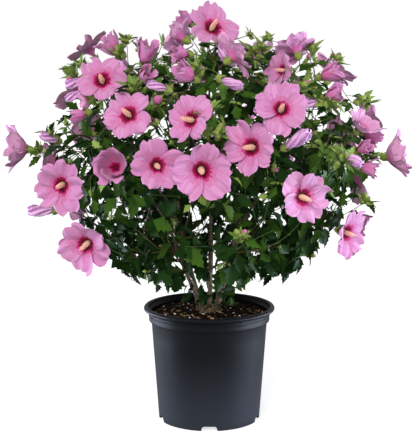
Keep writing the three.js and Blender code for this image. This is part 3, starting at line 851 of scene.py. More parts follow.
def moulded_polypropylene(pot):
    """Injection-moulded polypropylene, dyed black: satin, with a fine spark-eroded grain and
    faint upright flow marks that vary its gloss. Its colour is painted paler towards its foot:
    painted light from the floor below, and painted shade under the crown above."""
    name = "moulded_black_polypropylene"
    material, tree, inputs, place = patterned(name, pot.roughness, pot.gloss)
    flow = noise_of(tree, upright(tree, place, 0.12), 42.0, 3.0)
    gloss = ranged(tree, flow, 0.0, 1.0, pot.roughness - 0.05, pot.roughness + 0.07)
    rise = add_node(tree, "ShaderNodeSeparateXYZ", {"Vector": place}).outputs["Z"]
    # Painted light and shade: paler towards the foot for light from the floor, darker up under the
    # crown.
    painted_foot_light = ranged(tree, rise, 0.0, 0.75 * pot.height, 1.0, 0.0, interpolation_type="SMOOTHSTEP")
    colour = blend(tree, painted_foot_light, tuple(pot.colour), tuple(pot.painted_foot_light))
    grain = noise_of(tree, place, 800.0, 2.0)  # about 1.2 mm across, coarse enough to show
    relief = bump(tree, grain, 0.12, 0.0004)
    feed(tree, inputs, {"Base Color": colour, "Roughness": gloss, "Normal": relief, "IOR": 1.49})
    return material


def damp_potting_mix(soil):
    """Composted bark and peat, damp: nearly black in its pores, brown on its crumbs, matt."""
    material, tree, inputs, place = patterned("damp_potting_mix", 0.95, 0.25)
    crumbs = noise_of(tree, place, 240.0, 5.0)  # about 4 mm across
    colour = two_tone(tree, crumbs, linear("#0f0a06"), tuple(soil.colour))
    feed(tree, inputs, {"Base Color": colour, "Normal": bump(tree, crumbs, 0.9, 0.003)})
    return material


def grey_brown_bark(wood):
    """Smooth young hibiscus bark, grey-brown, with paler corky lenticels about 2 mm long and
    fine upright cracks. It is matt."""
    material, tree, inputs, place = patterned("grey_brown_bark", 0.85, 0.3)
    grain = noise_of(tree, upright(tree, place, 0.3), 420.0, 5.0)
    colour = two_tone(tree, grain, tuple(wood.dark), tuple(wood.colour), 0.38, 0.6)
    spots = add_node(tree, "ShaderNodeTexVoronoi", {"Vector": place, "Scale": 260.0})
    near = ranged(tree, spots.outputs["Distance"], 0.12, 0.3)
    colour = blend(tree, near, tuple(wood.lenticel), colour)
    feed(tree, inputs, {"Base Color": colour, "Normal": bump(tree, grain, 0.7, 0.0012)})
    return material


# ------------------------------------------------------------------------------- the pot


def arc(centre, radius, start, end, count):
    """Points of a round stretch of a profile, between two angles in degrees."""
    angles = [math.radians(mix(start, end, i / (count - 1))) for i in range(count)]
    return [(centre[0] + radius * math.cos(a), centre[1] + radius * math.sin(a)) for a in angles]


def pot_profile(pot):
    """The pot's section, in mm: out along the underside, up the wall, round the lip and down
    the inside to the floor."""
    height, lip = pot.height / MM, pot.lip_radius / MM
    band, foot, wall = pot.band_radius / MM, pot.foot_radius / MM, pot.wall / MM
    ledge, lip_foot, pad = height - 31, height - 9, 72

    def slope(z):
        return foot + (band - 3 - foot) * z / height

    ridges = []
    for z in (ledge + 12, ledge + 17.5):  # two fine mouldings round the band
        ridges += [(band, z - 1.6), (band + 0.9, z - 0.5), (band + 0.9, z + 0.5), (band, z + 1.6)]
    return [
        (0, 1.2), (pad - 2, 1.2), (pad, 0.2), (pad + 1.5, 0), (pad + 2.5, 1.2), (pad + 7, 9.2),
        (pad + 9, 10), (foot - 10, 10), (foot - 8, 9), (foot - 6.6, 0.6), (foot - 6, 0),
        (foot - 1.4, 0), (foot - 0.4, 0.4), (foot, 1.4), (slope(12), 12), (slope(60), 60),
        (slope(120), 120), (slope(180), 180), (slope(ledge - 3), ledge - 3),
        (slope(ledge) + 0.4, ledge - 0.8), (band - 0.8, ledge), (band - 0.1, ledge + 0.8),
        (band, ledge + 2), *ridges, (band, lip_foot - 1.5), (band + 0.8, lip_foot - 0.3),
        (lip - 4, lip_foot + 0.4), *arc((lip - 3.4, lip_foot + 4), 3.4, -80, 50, 8),
        *arc((lip - 4.2, height - 3), 3, 35, 90, 5),
        *arc((lip - 7.5, height - 2.4), 2.4, 100, 180, 5), (lip - 10.2, lip_foot),
        (band - wall, lip_foot - 4), (band - wall, ledge + 2),
        (slope(ledge) - wall, ledge - 2), (slope(120) - wall, 120), (slope(14) - wall, 14),
        (slope(12.4) - wall - 1, 12.4), (pad + 4, 12.4), (pad - 4, 3), (0, 3),
    ]


def arch_cutter(angle, pot):
    """A rounded arch that is taken out of the foot ring."""
    half, rise, foot = 17, 10, pot.foot_radius / MM
    outline = [(-half - 1, -4), (half + 1, -4), (half, 1)]
    outline += arc((half - 7, rise - 6), 6, 10, 90, 6)
    outline += arc((7 - half, rise - 6), 6, 90, 170, 6)
    outline.append((-half, 1))
    out = Vector((math.cos(angle), math.sin(angle), 0))
    along = Vector((-out.y, out.x, 0))
    depths = (foot - 18, foot + 12)
    points = [out * depth + along * a + UP * b for depth in depths for a, b in outline]
    n = len(outline)
    faces = [tuple(range(n - 1, -1, -1)), tuple(range(n, 2 * n))]
    faces += [(i, (i + 1) % n, n + (i + 1) % n, n + i) for i in range(n)]
    return Pile().add(points, faces).piece("arch_cutter")


def build_pot(pot):
    """The pot, turned from its section, with arches cut out of its foot ring."""
    turned = Pile().add(*lathe(pot_profile(pot), 160))
    body = turned.piece("nursery_pot", moulded_polypropylene(pot))
    turns = [-math.pi / 2 + 2 * math.pi * i / pot.arches for i in range(pot.arches)]
    cutters = [arch_cutter(turn, pot) for turn in turns]
    for cutter in cutters:
        cut = body.modifiers.new("Arch", "BOOLEAN")
        cut.operation, cut.solver, cut.object = "DIFFERENCE", "EXACT", cutter
    baked(body).data.set_sharp_from_angle(angle=math.radians(38))
    for cutter in cutters:
        bpy.data.objects.remove(cutter)
    stands_for(body, ["pot"])


# ----------------------------------------------------------------------------- potting mix

# What lies on the mix: colour, pieces to a square metre, and least and most length in mm.
LITTER = (
    ("bark_chips_dark", "#1e140d", 15000, 5.0, 14.0),
    ("bark_chips_brown", "#533621", 3600, 5.0, 14.0),
    ("bark_chips_tan", "#b08f6a", 2300, 5.0, 15.0),
    ("perlite", "#efe6d8", 1300, 2.6, 6.5),
)
CHIP_SHAPES = 8


def soil_height(x, y):
    """How far the mix's surface stands above its rim at a place, in mm."""
    out = min(1, math.hypot(x, y) / 124)
    mound = 5 * (1 - out**2)
    broad, fine = noise.noise(Vector((x, y, 3)) / 16), noise.noise(Vector((x, y, 9)) / 5)
    return mound + 1.7 * broad + 0.9 * fine


def build_soil(soil):
    """The bed of mix, and the bark and perlite that lie on it."""
    rim = 1000 * SOIL_HIGH.z - 5
    top = [(r, rim) for r in np.linspace(121, 3, 42)]
    side = [(0, 4), (70, 4), (76, 13.5), (103, 14), (121.5, 212), (123.5, rim - 6)]

    def uneven(x, y, z):
        return (x, y, z + soil_height(x, y) if z > rim - 1 else z)

    points, faces = lathe([*side, *top, (0, rim)], 120, uneven)
    points[-1, 2] = rim + soil_height(0, 0)
    bed = Pile().add(points, faces).piece("potting_mix_bed", damp_potting_mix(soil))
    stands_for(bed, ["potting_mix"])
    count = 44
    span = np.linspace(-118, 118, count)
    spots = [(x, y, rim + soil_height(x, y) + 0.4) for x in span for y in span]
    faces = grid_faces(count, count)
    faces = [face for face in faces if max(math.hypot(*spots[i][:2]) for i in face) < 119]
    for seed, (name, colour, density, least, most) in enumerate(LITTER, 3):
        values = {"Density": density * soil.litter, "Least Size": least * MM, "Most Size": most * MM}
        values |= {"Seed": seed, "Finish": plain(name, linear(colour), 0.9, specular=0.2)}
        ground = Pile().add(spots, faces).mesh("ground")
        shapes = [chip_mesh(seed * 10 + k, name) for k in range(CHIP_SHAPES)]
        piece = made_by_nodes(name, ground, litter_tree(), shapes, values)
        stands_for(piece, ["potting_mix"])


def chip_mesh(seed, name):
    """A flake of bark, or a round crumb of perlite, of unit length with a few faces."""
    chance = stream(seed)
    flat, slim = (0.8, 0.85) if name == "perlite" else (0.28, 0.55)
    points, faces = lathe([(0, -0.5), (0.36, -0.38), (0.5, 0), (0.34, 0.4), (0, 0.5)], 6)
    stretch = np.array([slim * flat, slim, 1.0])
    uneven = [[mix(0.75, 1.25, chance()) for _ in range(3)] for _ in points]
    points = points * stretch * np.array(uneven)
    pile = Pile().add(points[:, [2, 1, 0]], [face[::-1] for face in faces])
    return pile.mesh(f"{name}_{seed}", scale=1)


# ----------------------------------------------------------------------------------- wood


def bark_relief(path, sides, seed):
    """How far the bark stands out at each point of a limb, as a share of its radius: long
    swellings, upright ridges and small knots."""
    turns = turns_of(sides)
    found = np.empty((len(path), sides))
    run = 0.0
    for i, point in enumerate(path):
        run += (point - path[i - 1]).length if i else 0
        for j, turn in enumerate(turns):
            round_it = Vector((math.cos(turn), math.sin(turn), 0))
            swell = noise.noise(Vector((0, seed, run / 34)) + round_it * 0.5)
            ridge = noise.noise(round_it * 2.2 + Vector((seed, 0, run / 26)))
            knot = noise.noise(round_it * 1.6 + Vector((0, seed * 3, run / 7)))
            found[i, j] = 0.1 * swell + 0.1 * ridge + 0.07 * knot
    return found


def build_wood(wood):
    """The root crown, stems and boughs as one bark-covered piece."""
    pile = Pile()
    for n, limb in enumerate(shrub().limbs):
        path = limb.fine
        share = np.linspace(0, 1, len(path))
        # A collar where it leaves the root crown or its stem.
        sides, collar, fade = (12, 0.4, 14) if limb.foot < STEM["foot"] else (16, 0.15, 16)
        radii = mix(limb.foot, limb.tip, share) * wood.thickness
        radii = radii * (1 + collar * np.exp(-share * fade))
        pile.add(*tube(path, radii, sides, bark_relief(path, sides, n + 1)))
    height, flare = 1000 * (CROWN_HIGH.z - CROWN_LOW.z), 1000 * CROWN_HIGH.x
    levels = (
        (1, 0), (0.99, 0.02), (0.94, 0.08), (0.88, 0.16), (0.84, 0.27), (0.8, 0.4), (0.76, 0.52),
        (0.71, 0.64), (0.62, 0.76), (0.48, 0.87), (0.32, 0.95), (0.14, 0.99),
    )
    side = [(flare * r, GROUND + height * z) for r, z in levels]

    def lumpy(x, y, z):
        angle = math.atan2(y, x)
        rise = (z - GROUND) / height
        lobe = 0.09 * math.cos(STEMS * angle + math.pi / 2 * STEMS) * (1 - 0.4 * rise)
        point = Vector((x, y, z))
        rough = 0.13 * noise.noise(point / 11) + 0.06 * noise.noise(point / 4)
        grow = 1 + (lobe + rough - 0.1) if rise > 0.001 else 1 + min(0, lobe + rough - 0.1)
        return (x * grow, y * grow, z)

    pile.add(*lathe([(0, GROUND), *side, (0, GROUND + height)], 72, lumpy))
    piece = pile.piece("stems_and_boughs", grey_brown_bark(wood))
    stands_for(piece, WOOD)


def build_twigs(wood):
    """The twigs, brown where they are old and green where they are this year's."""
    finishes = {
        "twigs_brown": plain("young_brown_bark", wood.twig, 0.75, specular=0.3),
        "twigs_green": plain("green_shoot", wood.shoot, 0.55, specular=0.4),
    }
    piles = {name: Pile() for name in finishes}
    for twig in shrub().twigs:
        foot = min(2.3, 0.85 + 0.26 * math.sqrt(twig.load)) * wood.thickness
        tip = 1.0 if twig.kind == "bloom" else 0.75
        radii = np.linspace(foot, max(tip, 0.45 * foot), len(twig.fine))
        old = twig.kind == "spine" or twig.load > 2
        piles["twigs_brown" if old else "twigs_green"].add(*tube(twig.fine, radii, 5))
    for name, pile in piles.items():
        stands_for(pile.piece(name, finishes[name]), FOLIAGE)


# --------------------------------------------------------------------------------- leaves

# Half of a blade's outline as places along it and off its rib: wedge-shaped at the foot, one
# blunt lobe past the middle, then coarse teeth to a short tip.
BLADE_EDGE = (
    (0.0, 0.0), (0.1, 0.07), (0.25, 0.18), (0.43, 0.32), (0.5, 0.18), (0.64, 0.23),
    (0.7, 0.13), (0.81, 0.13), (0.87, 0.06), (1.0, 0.0),
)
LEAF_STALK = 0.2  # of a leaf's length
# Painted shade: low in the crown the greens are darker, so young leaves there take them too.
YOUNG_LOW = 480  # young leaves below it are as dark as the others


def leaf_mesh(name, hang, fold, sway, breadth=1.0):
    """A leaf of unit length along +X, its upper face to +Z, with its stalk. It hangs and sways
    towards its tip, and folds up from its rib."""
    blade = 1 - LEAF_STALK
    rows = []
    for n, (x, y) in enumerate(BLADE_EDGE):
        y = y * breadth
        rib = LEAF_STALK + blade * (x - 0.3 * y if 0 < y else x)
        edge = LEAF_STALK + blade * x
        pucker = 0.012 if n % 2 else -0.012
        row = []
        for side, out in ((-1, 1), (-1, 0.5), (0, 0), (1, 0.5), (1, 1)):
            along = rib + (edge - rib) * out
            off = side * y * blade * out
            lift = fold * abs(off) - (pucker if out == 1 else 0.016 * (out == 0.5))
            row.append((along, off + sway * along**2, lift - hang * along**2))
        rows.append(row)
    thin = 0.009
    stalk = [(0, -thin, 0), (0, thin, 0), (0, 0, -thin), (0, 0, thin)]
    end = rows[0][2]
    stalk += [(end[0], end[1] + b, end[2] + c) for _, b, c in stalk]
    pile = Pile().add(stalk, [(0, 4, 5, 1), (2, 6, 7, 3)])
    pile.add([point for row in rows for point in row], grid_faces(len(rows), 5))
    made = pile.mesh(name, scale=1)
    merge_doubles(made)
    return made


def merge_doubles(mesh, distance=1e-5):
    """Merges the points of a mesh that lie together, and drops faces with no area."""
    edit = bmesh.new()
    edit.from_mesh(mesh)
    bmesh.ops.remove_doubles(edit, verts=edit.verts, dist=distance)
    edit.to_mesh(mesh)
    edit.free()


def build_leaves(leaf):
    """The full-grown leaves of all twigs, of five shapes, as one piece for each green."""
    shapes = [
        leaf_mesh("leaf_flat", 0.12, 0.25, 0.05, 1.15),
        leaf_mesh("leaf_hanging", 0.3, 0.45, -0.08, 1.1),
        leaf_mesh("leaf_folded", 0.2, 0.7, 0.1, 1.0),
        leaf_mesh("leaf_bowed", -0.1, 0.3, -0.05, 1.2),
        leaf_mesh("leaf_narrow", 0.24, 0.5, 0.0, 0.9),
    ]
    tones = {"deep": [], "green": [], "bright": [], "young": []}
    for n, one in enumerate(shrub().leaves):
        # Painted light and shade: leaves high in the crown take lighter greens, low ones darker.
        tone = one.tone + 0.0015 * (one.point.z - 600)
        name = "deep" if tone < 0.42 else "green" if tone < 0.86 else "bright"
        if one.tender and tone > 0.8 and one.point.z > YOUNG_LOW:
            name = "young"
        length = one.length * (0.7 if name == "young" else 1)
        tones[name].append((one.point, one.direction, one.upper, length, n % len(shapes)))
    for name, stands in tones.items():
        # A leaf's upper face is waxy, so it is satin and catches a soft light.
        finish = plain(f"hibiscus_leaf_{name}", getattr(leaf, name), leaf.roughness, specular=0.16)
        stands_for(spray(f"leaves_{name}", shapes, stands, finish), FOLIAGE)


# --------------------------------------------------------------------------------- blooms

# How far out of a petal's length its rows lie, closer together where its colour changes.
PETAL_ROWS = (
    0, 0.08, 0.16, 0.22, 0.27, 0.31, 0.35, 0.39, 0.43, 0.48, 0.55, 0.64, 0.74, 0.84, 0.91, 0.96, 1,
)
PETAL_COLUMNS = 15
# A petal's half breadth along it, as a share of its length.
PETAL_BREADTH = (
    (0, 0.07), (0.15, 0.17), (0.3, 0.31), (0.5, 0.45), (0.66, 0.52), (0.8, 0.53), (0.9, 0.48),
    (0.96, 0.4), (1, 0.27),
)
# A bloom's slope along its petals, in degrees: an open one flares flat, a trumpet stays steep.
SLOPES = {
    "open": ((0, 66), (0.15, 54), (0.3, 32), (0.5, 20), (0.75, 12), (1, -10)),
    "cup": ((0, 24), (0.2, 34), (0.5, 50), (0.8, 48), (1, 24)),
    "trumpet": ((0, 35), (0.15, 48), (0.4, 68), (0.7, 80), (0.9, 84), (1, 60)),
}
# The radius of a bloom's rim, as a share of its breadth when full.
RIM_RADIUS = {"open": 0.5, "cup": 0.54, "trumpet": 0.38}
# How far single petals lift off the bloom's slope, in degrees, and their share of full length.
PETAL_LIFT = {"open": (-8, 6), "cup": (-5, 5), "trumpet": (-10, 9)}
PETAL_REACH = {"open": (0.93, 1.04), "cup": (0.94, 1.04), "trumpet": (0.8, 1.06)}
# How much further in a petal's tones lie on a bloom that is less open.
TONES_IN = {"open": 0, "cup": 0.1, "trumpet": 0.2}
PETAL_TONES = ("eye_deep", "eye", "halo", "rose", "pink", "pale", "edge")
SPENT_TONES = ("spent_pale", "spent_dark")  # their slots follow the petals' own
SPENT = len(PETAL_TONES)
CLOSED_SIZE = 36  # a rolled bloom up to this size is still a bud
COLUMN = {"least_bloom": 60, "length": 0.37}  # a smaller bloom hides its column
CUPPING = (-4, 12)  # degrees by which an open bloom's petals are raised
PETAL_ROUGHNESS, PETAL_SHEEN, PETAL_SPECULAR = 0.62, 0.2, 0.3


def petal_points(kind, radius, seed, cup):
    """The five petals of a bloom that faces +Z with its throat at the origin, each a grid of points."""
    chance = np.random.default_rng(seed)
    rows, columns = np.array(PETAL_ROWS), np.linspace(-1, 1, PETAL_COLUMNS)
    fine = np.linspace(0, 1, 101)
    slope = np.radians(np.interp(fine, *zip(*SLOPES[kind])) + cup)
    out = np.concatenate([[0], np.cumsum(np.cos(slope[:-1]))]) / 100
    rise = np.concatenate([[0], np.cumsum(np.sin(slope[:-1]))]) / 100
    length = radius / out[-1]
    petals = []
    for petal in range(5):
        lift = math.radians(chance.uniform(*PETAL_LIFT[kind]))
        breadth = np.interp(rows, *zip(*PETAL_BREADTH)) * chance.uniform(0.86, 1.08)
        notch = 0.05 * chance.uniform(-0.4, 1) * np.cos(columns * math.pi)
        # Waves run across the petal, and grow towards its rim.
        waves = np.array([2.2, 4.1, 7.3])[:, None] * columns + chance.uniform(0, 6.28, 3)[:, None]
        ruffle = (chance.uniform(0.025, 0.065, 3)[:, None] * np.sin(waves)).sum(axis=0)
        nicks = 0.035 * chance.uniform(-1, 1, PETAL_COLUMNS)
        if kind == "trumpet":  # its petals are crumpled, and blunter
            ruffle, nicks = ruffle * 1.5, nicks * 0.4
            breadth = breadth * (1 + 0.5 * rows**4)
        a = rows[:, None] * (1 + (0.45 * ruffle - notch)[None] * rows[:, None] ** 3)
        a = a * (1 + nicks[None] * rows[:, None] ** 8) * chance.uniform(*PETAL_REACH[kind])
        across = breadth[:, None] * columns
        ring = 0.035 + np.interp(np.clip(a, 0, 1), fine, out) + np.maximum(a - 1, 0)
        height = np.interp(np.clip(a, 0, 1), fine, rise)
        spread = across / ring
        limit = 1.05 if kind == "open" else 1.5
        spread = limit * np.tanh(spread / limit)
        # One side of each petal lies over its neighbour and the other side under it.
        lap = 0.026 if kind == "open" else 0.04
        height = height + lap * columns * np.minimum(1, 3 * rows[:, None]) * (rows[:, None] + 0.3)
        height = height + ruffle[None] * rows[:, None] ** 2
        # Fine veins stand out of it, and its sides turn up or down.
        height = height + 0.006 * np.cos(columns * 7 * math.pi)[None] * rows[:, None]
        bow = chance.uniform(-0.05, 0.08) if kind == "open" else -0.03
        height = height + bow * (columns**2)[None] * rows[:, None]
        if kind != "open":
            ring = ring + (0.11 if kind == "trumpet" else 0.04) * columns[None] * rows[:, None]
        ring, height = (
            ring * math.cos(lift) - height * math.sin(lift) * rows[:, None],
            height + ring * math.sin(lift) * rows[:, None],
        )
        skew = chance.uniform(-0.12, 0.12) + chance.uniform(-0.2, 0.2) * rows[:, None] ** 2
        petals.append(rounded(ring, petal * 2 * math.pi / 5 + spread + skew, height) * length)
    return petals


def petal_back(points):
    """The underside of a petal, half a millimetre behind its upper side."""
    grid = points.reshape(len(PETAL_ROWS), PETAL_COLUMNS, 3)
    normal = np.cross(np.gradient(grid, axis=0), np.gradient(grid, axis=1))
    normal /= np.maximum(np.linalg.norm(normal, axis=-1, keepdims=True), 1e-9)
    return (grid - 0.5 * normal).reshape(-1, 3)


def petal_slots(kind, seed, main):
    """The tone of each face of a petal: a dark eye that runs out in short streaks along the
    veins, then paler tones to the rim. main is the tone of the most of it."""
    chance = np.random.default_rng(seed)
    veins = chance.uniform(-1, 1, PETAL_COLUMNS - 1)
    slots = []
    for i in range(len(PETAL_ROWS) - 1):
        middle = (PETAL_ROWS[i] + PETAL_ROWS[i + 1]) / 2 + TONES_IN[kind]
        for j, vein in enumerate(veins):
            off = abs(j - (PETAL_COLUMNS - 2) / 2) / (PETAL_COLUMNS / 2)
            reach = middle + 0.05 * off - 0.03 * vein
            if reach < 0.59:
                slots.append(int(np.searchsorted((0.325, 0.385, 0.44), reach)))
            else:
                streak = int(vein > 0.45 or reach > 1.0) - int(vein < -0.6 and reach < 0.8)
                slots.append(max(3, main + streak))
    return slots


def rolled_points(length, seed):
    """A spent bloom: petals rolled into a twisted, pleated roll with a ruffled end."""
    chance = np.random.default_rng(seed)
    rows, sides = 18, 30
    share, turns = np.linspace(0, 1, rows)[:, None], turns_of(sides)
    radius = np.interp(share, (0, 0.12, 0.4, 0.7, 0.88, 1), (3.4, 5.8, 8.4, 9.2, 8.6, 4.5))
    radius = radius * length / 46
    twist = 2.2 * share + 0.3
    pleat = 0.26 * np.cos(5 * (turns + twist)) * np.minimum(1, 4 * share)
    fray = 0.28 * share**5 * np.cos(10 * turns + 1)
    bend = 3.5 * chance.uniform(-1, 1) * share**2
    height = share * length + 2.5 * share**8 * np.cos(5 * turns)
    points = rounded(radius * (1 + pleat + fray), turns, height)
    points[:, 0] += np.repeat(bend, sides)
    faces = capped(rows, sides, foot=False)
    # Painted shade: the folds take the darker tone, for shade in the creases as well as the spent
    # bloom's darker mauve; the ridges take its pale lilac.
    slots = []
    for face in faces:
        row, side = divmod(face[0], sides)
        phase = math.cos(5 * (turns[side % sides] + 2.2 * row / rows + 0.3))
        slots.append(SPENT if phase > -0.25 else SPENT + 1)
    return np.concatenate([points, [[bend[-1, 0], 0, length * 0.96]]]), faces, slots


def column_mesh(anthers):
    """The column in a bloom's throat, of unit length along +X, or the anthers that stand out of
    it in a spiral, denser towards the tip."""
    pile = Pile()
    if not anthers:
        shares = (0, 0.25, 0.5, 0.75, 0.9, 0.98)
        radii = (0.095, 0.11, 0.105, 0.08, 0.055, 0.03)
        pile.add(*tube([(x, 0, 0) for x in shares], radii, 10))
        for k in range(5):
            turn = k * 2 * math.pi / 5
            way = Vector((0.1, 0.035 * math.cos(turn), 0.035 * math.sin(turn)))
            start = Vector((0.95, 0, 0))
            pile.add(*tube([start, start + way * 0.6, start + way], (0.014, 0.014, 0.022), 4))
        return pile.mesh("column", scale=1)
    count = 64
    for k in range(count):
        rise = k / (count - 1)
        turn = k * GOLDEN_ANGLE
        out = Vector((0.25, math.cos(turn), math.sin(turn))).normalized()
        off = mix(0.135, 0.075, rise**1.5) + 0.02 * ((k * 0.618) % 1)
        centre = Vector((mix(0.2, 0.93, rise), 0, 0)) + out * off
        ring = [sideways(out, n * math.pi / 2) * 0.032 for n in range(4)]
        points = [centre - out * 0.028, *[centre + r for r in ring], centre + out * 0.028]
        faces = [(0, 1 + (n + 1) % 4, 1 + n) for n in range(4)]
        faces += [(5, 1 + n, 1 + (n + 1) % 4) for n in range(4)]
        pile.add(points, faces)
    return pile.mesh("anthers", scale=1)


def calyx_mesh(name, closed):
    """A calyx of unit length along +X, with five pointed sepals over narrow bracts. A closed one
    is a bud."""
    sides, rows = 10, 7
    share, odd = np.linspace(0, 1, rows)[:, None], np.arange(sides) % 2
    if closed:
        radius = np.interp(share, (0, 0.1, 0.35, 0.6, 0.85, 1), (0.1, 0.27, 0.37, 0.33, 0.15, 0.02))
        parted = 0.0
    else:  # the sepals part above two thirds
        radius = np.interp(share, (0, 0.15, 0.4, 0.7, 1), (0.12, 0.3, 0.4, 0.46, 0.56))
        parted = 0.4 * odd * np.clip(3 * share - 2, 0, 1)
    keel = 1 + 0.1 * np.where(odd, -1, 1)
    points = rounded(radius * keel, turns_of(sides), share - parted)
    pile = Pile().add(points[:, [2, 0, 1]], grid_faces(rows, sides, closed=True))
    for k in range(7):  # the bracts of the outer calyx
        turn = k * 2 * math.pi / 7 + 0.3
        out = np.array([0, math.cos(turn), math.sin(turn)])
        side = np.array([0, -math.sin(turn), math.cos(turn)])
        x = np.array([1.0, 0, 0])
        spine = [a * x + b * out for a, b in ((0.04, 0.12), (0.25, 0.4), (0.5, 0.5), (0.74, 0.46))]
        points = [p + s * w * side for p, w in zip(spine, (0.02, 0.05, 0.04, 0.0)) for s in (-1, 1)]
        pile.add(points, [(2 * i, 2 * i + 1, 2 * i + 3, 2 * i + 2) for i in range(3)])
    return pile.mesh(name, scale=1)


def petal_tip_mesh():
    """The rolled petals that show out of an opening bud, as a pleated point of unit length."""
    sides, rows = 10, 6
    share, turns = np.linspace(0, 1, rows)[:, None], turns_of(sides)
    radius = np.interp(share, (0, 0.3, 0.6, 0.85, 1), (0.2, 0.3, 0.29, 0.2, 0.06))
    pleat = 1 + 0.12 * np.cos(5 * (turns + 1.4 * share))
    points = rounded(radius * pleat, turns, 0.35 + 0.75 * share)[:, [2, 0, 1]]
    pile = Pile().add(np.concatenate([points, [[1.14, 0, 0]]]), capped(rows, sides, foot=False))
    return pile.mesh("petal_tip", scale=1)


def petal_finish(name, tone, sheen=PETAL_SHEEN):
    """A petal is crepe-like: matt, with a soft sheen at a glancing view but in its eye."""
    return plain(f"petal_{name}", tone, PETAL_ROUGHNESS, sheen, PETAL_SPECULAR)


def build_blooms(bloom):
    """The petals of all blooms as one piece in bands of plain colours, their paler backs as another,
    and their columns. The backs are paler partly in their own colour and partly as painted light,
    for light through the thin petals."""
    petals, backs, columns = Pile(), Pile(), []
    chance = stream(SEED + SEED_ON["blooms"])
    faces = grid_faces(len(PETAL_ROWS), PETAL_COLUMNS)
    for n, one in enumerate(shrub().blooms):
        axis = sideways(one.face, 6.28 * chance())
        axes = np.array([axis, one.face.cross(axis), one.face])
        base = np.array(one.base)
        cup = mix(*CUPPING, chance()) if one.kind == "open" else 0
        if one.kind == "rolled":
            if one.size > CLOSED_SIZE:
                points, rolled, slots = rolled_points(one.size, n)
                petals.add(points @ axes + base, rolled, slots)
            continue
        main = 4 if chance() < 0.6 else 5
        main, paler = (3, 3) if one.kind == "trumpet" else (main, 2)
        for k, points in enumerate(petal_points(one.kind, one.size * RIM_RADIUS[one.kind], n, cup)):
            slots = petal_slots(one.kind, 10 * n + k, main)
            petals.add(points @ axes + base, [face[::-1] for face in faces], slots)
            # A back takes a tone paler than its front: partly its own paler colour, partly painted
            # light through the thin petal.
            slots = [min(2, max(0, slot - paler)) for slot in slots]
            backs.add(petal_back(points) @ axes + base, faces, slots)
        if one.kind != "trumpet" and one.size > COLUMN["least_bloom"]:
            way = one.face
            if one.base.y < 0:  # a column leans a little further the way its bloom is turned
                way = (one.face * 1.25 - facing(0, 8) * 0.25).normalized()
            columns.append((one.base, way, axis, COLUMN["length"] * one.size, 0))
    eye, rest = PETAL_TONES[:3], PETAL_TONES[3:] + SPENT_TONES
    finishes = [petal_finish(name, getattr(bloom, name), 0.0) for name in eye]
    finishes += [petal_finish(name, getattr(bloom, name)) for name in rest]
    stands_for(petals.piece("petals", *finishes), FOLIAGE)
    tones = {"deep": bloom.back_deep, "pink": bloom.pink, "pale": bloom.back}
    finishes = [petal_finish(f"back_{name}", tone) for name, tone in tones.items()]
    stands_for(backs.piece("petal_backs", *finishes), FOLIAGE)
    pollen = plain("pollen_column", bloom.column, 0.6, 0.1, 0.3)
    stands_for(spray("columns", [column_mesh(False)], columns, pollen), FOLIAGE)
    pollen = plain("pollen_anthers", bloom.anther, 0.8, 0.2, 0.2)
    stands_for(spray("anthers", [column_mesh(True)], columns, pollen), FOLIAGE)


# The buds at a twig's end are more the higher it stands, and fine shoots inside the crown have
# none. Those of a spray are larger. closed is the share that shows no petals yet.
BUDS = {
    "from": 420, "over": 300, "depth": 0.72, "on_spray": 6, "on_fine": 1.8,
    "size": (7, 13), "larger": 1.3, "closed": 0.92,
}


def build_buds(bloom):
    """Calyces under the blooms, and clusters of buds at the ends of leafy shoots."""
    chance = stream(SEED + SEED_ON["buds"])
    green, tips, tender = [], [], []
    for one in shrub().blooms:
        foot = one.base - one.face * 12
        axis = sideways(one.face, 6.28 * chance())
        size = 17 if one.kind == "open" else 19
        if one.kind == "rolled" and one.size <= CLOSED_SIZE:
            size = 24
            tips.append((foot, one.face, axis, 27, 0))
        green.append((foot, one.face, axis, size, 0))
    for twig in shrub().twigs:
        if twig.kind in ("bloom", "spine", "basal"):
            continue
        end, along = twig.fine[-1], direction_at(twig.fine, len(twig.fine) - 1)
        high = max(0, min(1, (end.z - BUDS["from"]) / BUDS["over"]))
        on_fine = round(BUDS["on_fine"] * high * chance())
        count = {"spray": BUDS["on_spray"], "shoot": round(1 + 2 * high)}.get(twig.kind, on_fine)
        if depth_of(end) <= BUDS["depth"] and twig.kind == "fine":
            count = 0
        larger = BUDS["larger"] if twig.kind == "spray" else 1
        for k in range(count):
            side = sideways(along, k * GOLDEN_ANGLE + 6 * chance())
            way = (along + side * (0 if k == 0 else mix(0.5, 1.2, chance()))).normalized()
            foot = end - along * (2 + 5 * k * chance()) + side * (0 if k == 0 else 3)
            size = mix(*BUDS["size"], chance()) * larger
            green.append((foot + way * 2, way, side, size, 1))
            if chance() > BUDS["closed"]:
                tips.append((foot + way * 2, way, side, size * 1.05, 0))
        for k in range(2 * count):
            side = sideways(along, k * GOLDEN_ANGLE + 0.8 * chance())
            way = (side + along * mix(0.1, 1.4, chance())).normalized()
            foot = end - along * mix(0, 12, chance())
            tender.append((foot, way, along + UP * 0.2, mix(12, 30, chance()) * larger, k % 2))
    shapes = [calyx_mesh("calyx", False), calyx_mesh("bud", True)]
    finish = plain("green_sepals", bloom.sepal, 0.5, 0.1, 0.4)
    stands_for(spray("calyces_and_buds", shapes, green, finish), FOLIAGE)
    finish = plain("rolled_bud_petals", bloom.bud_tip, 0.6, 0.2, 0.3)
    stands_for(spray("bud_petal_tips", [petal_tip_mesh()], tips, finish), FOLIAGE)
    shapes = [
        leaf_mesh("young_leaf", 0.1, 0.6, 0.05, 0.8),
        leaf_mesh("young_leaf_bowed", -0.15, 0.5, -0.05, 0.75),
    ]
    finish = plain("tender_leaf", bloom.tender, 0.5, 0.0, 0.4)
    stands_for(spray("leaves_tender", shapes, tender, finish), FOLIAGE)


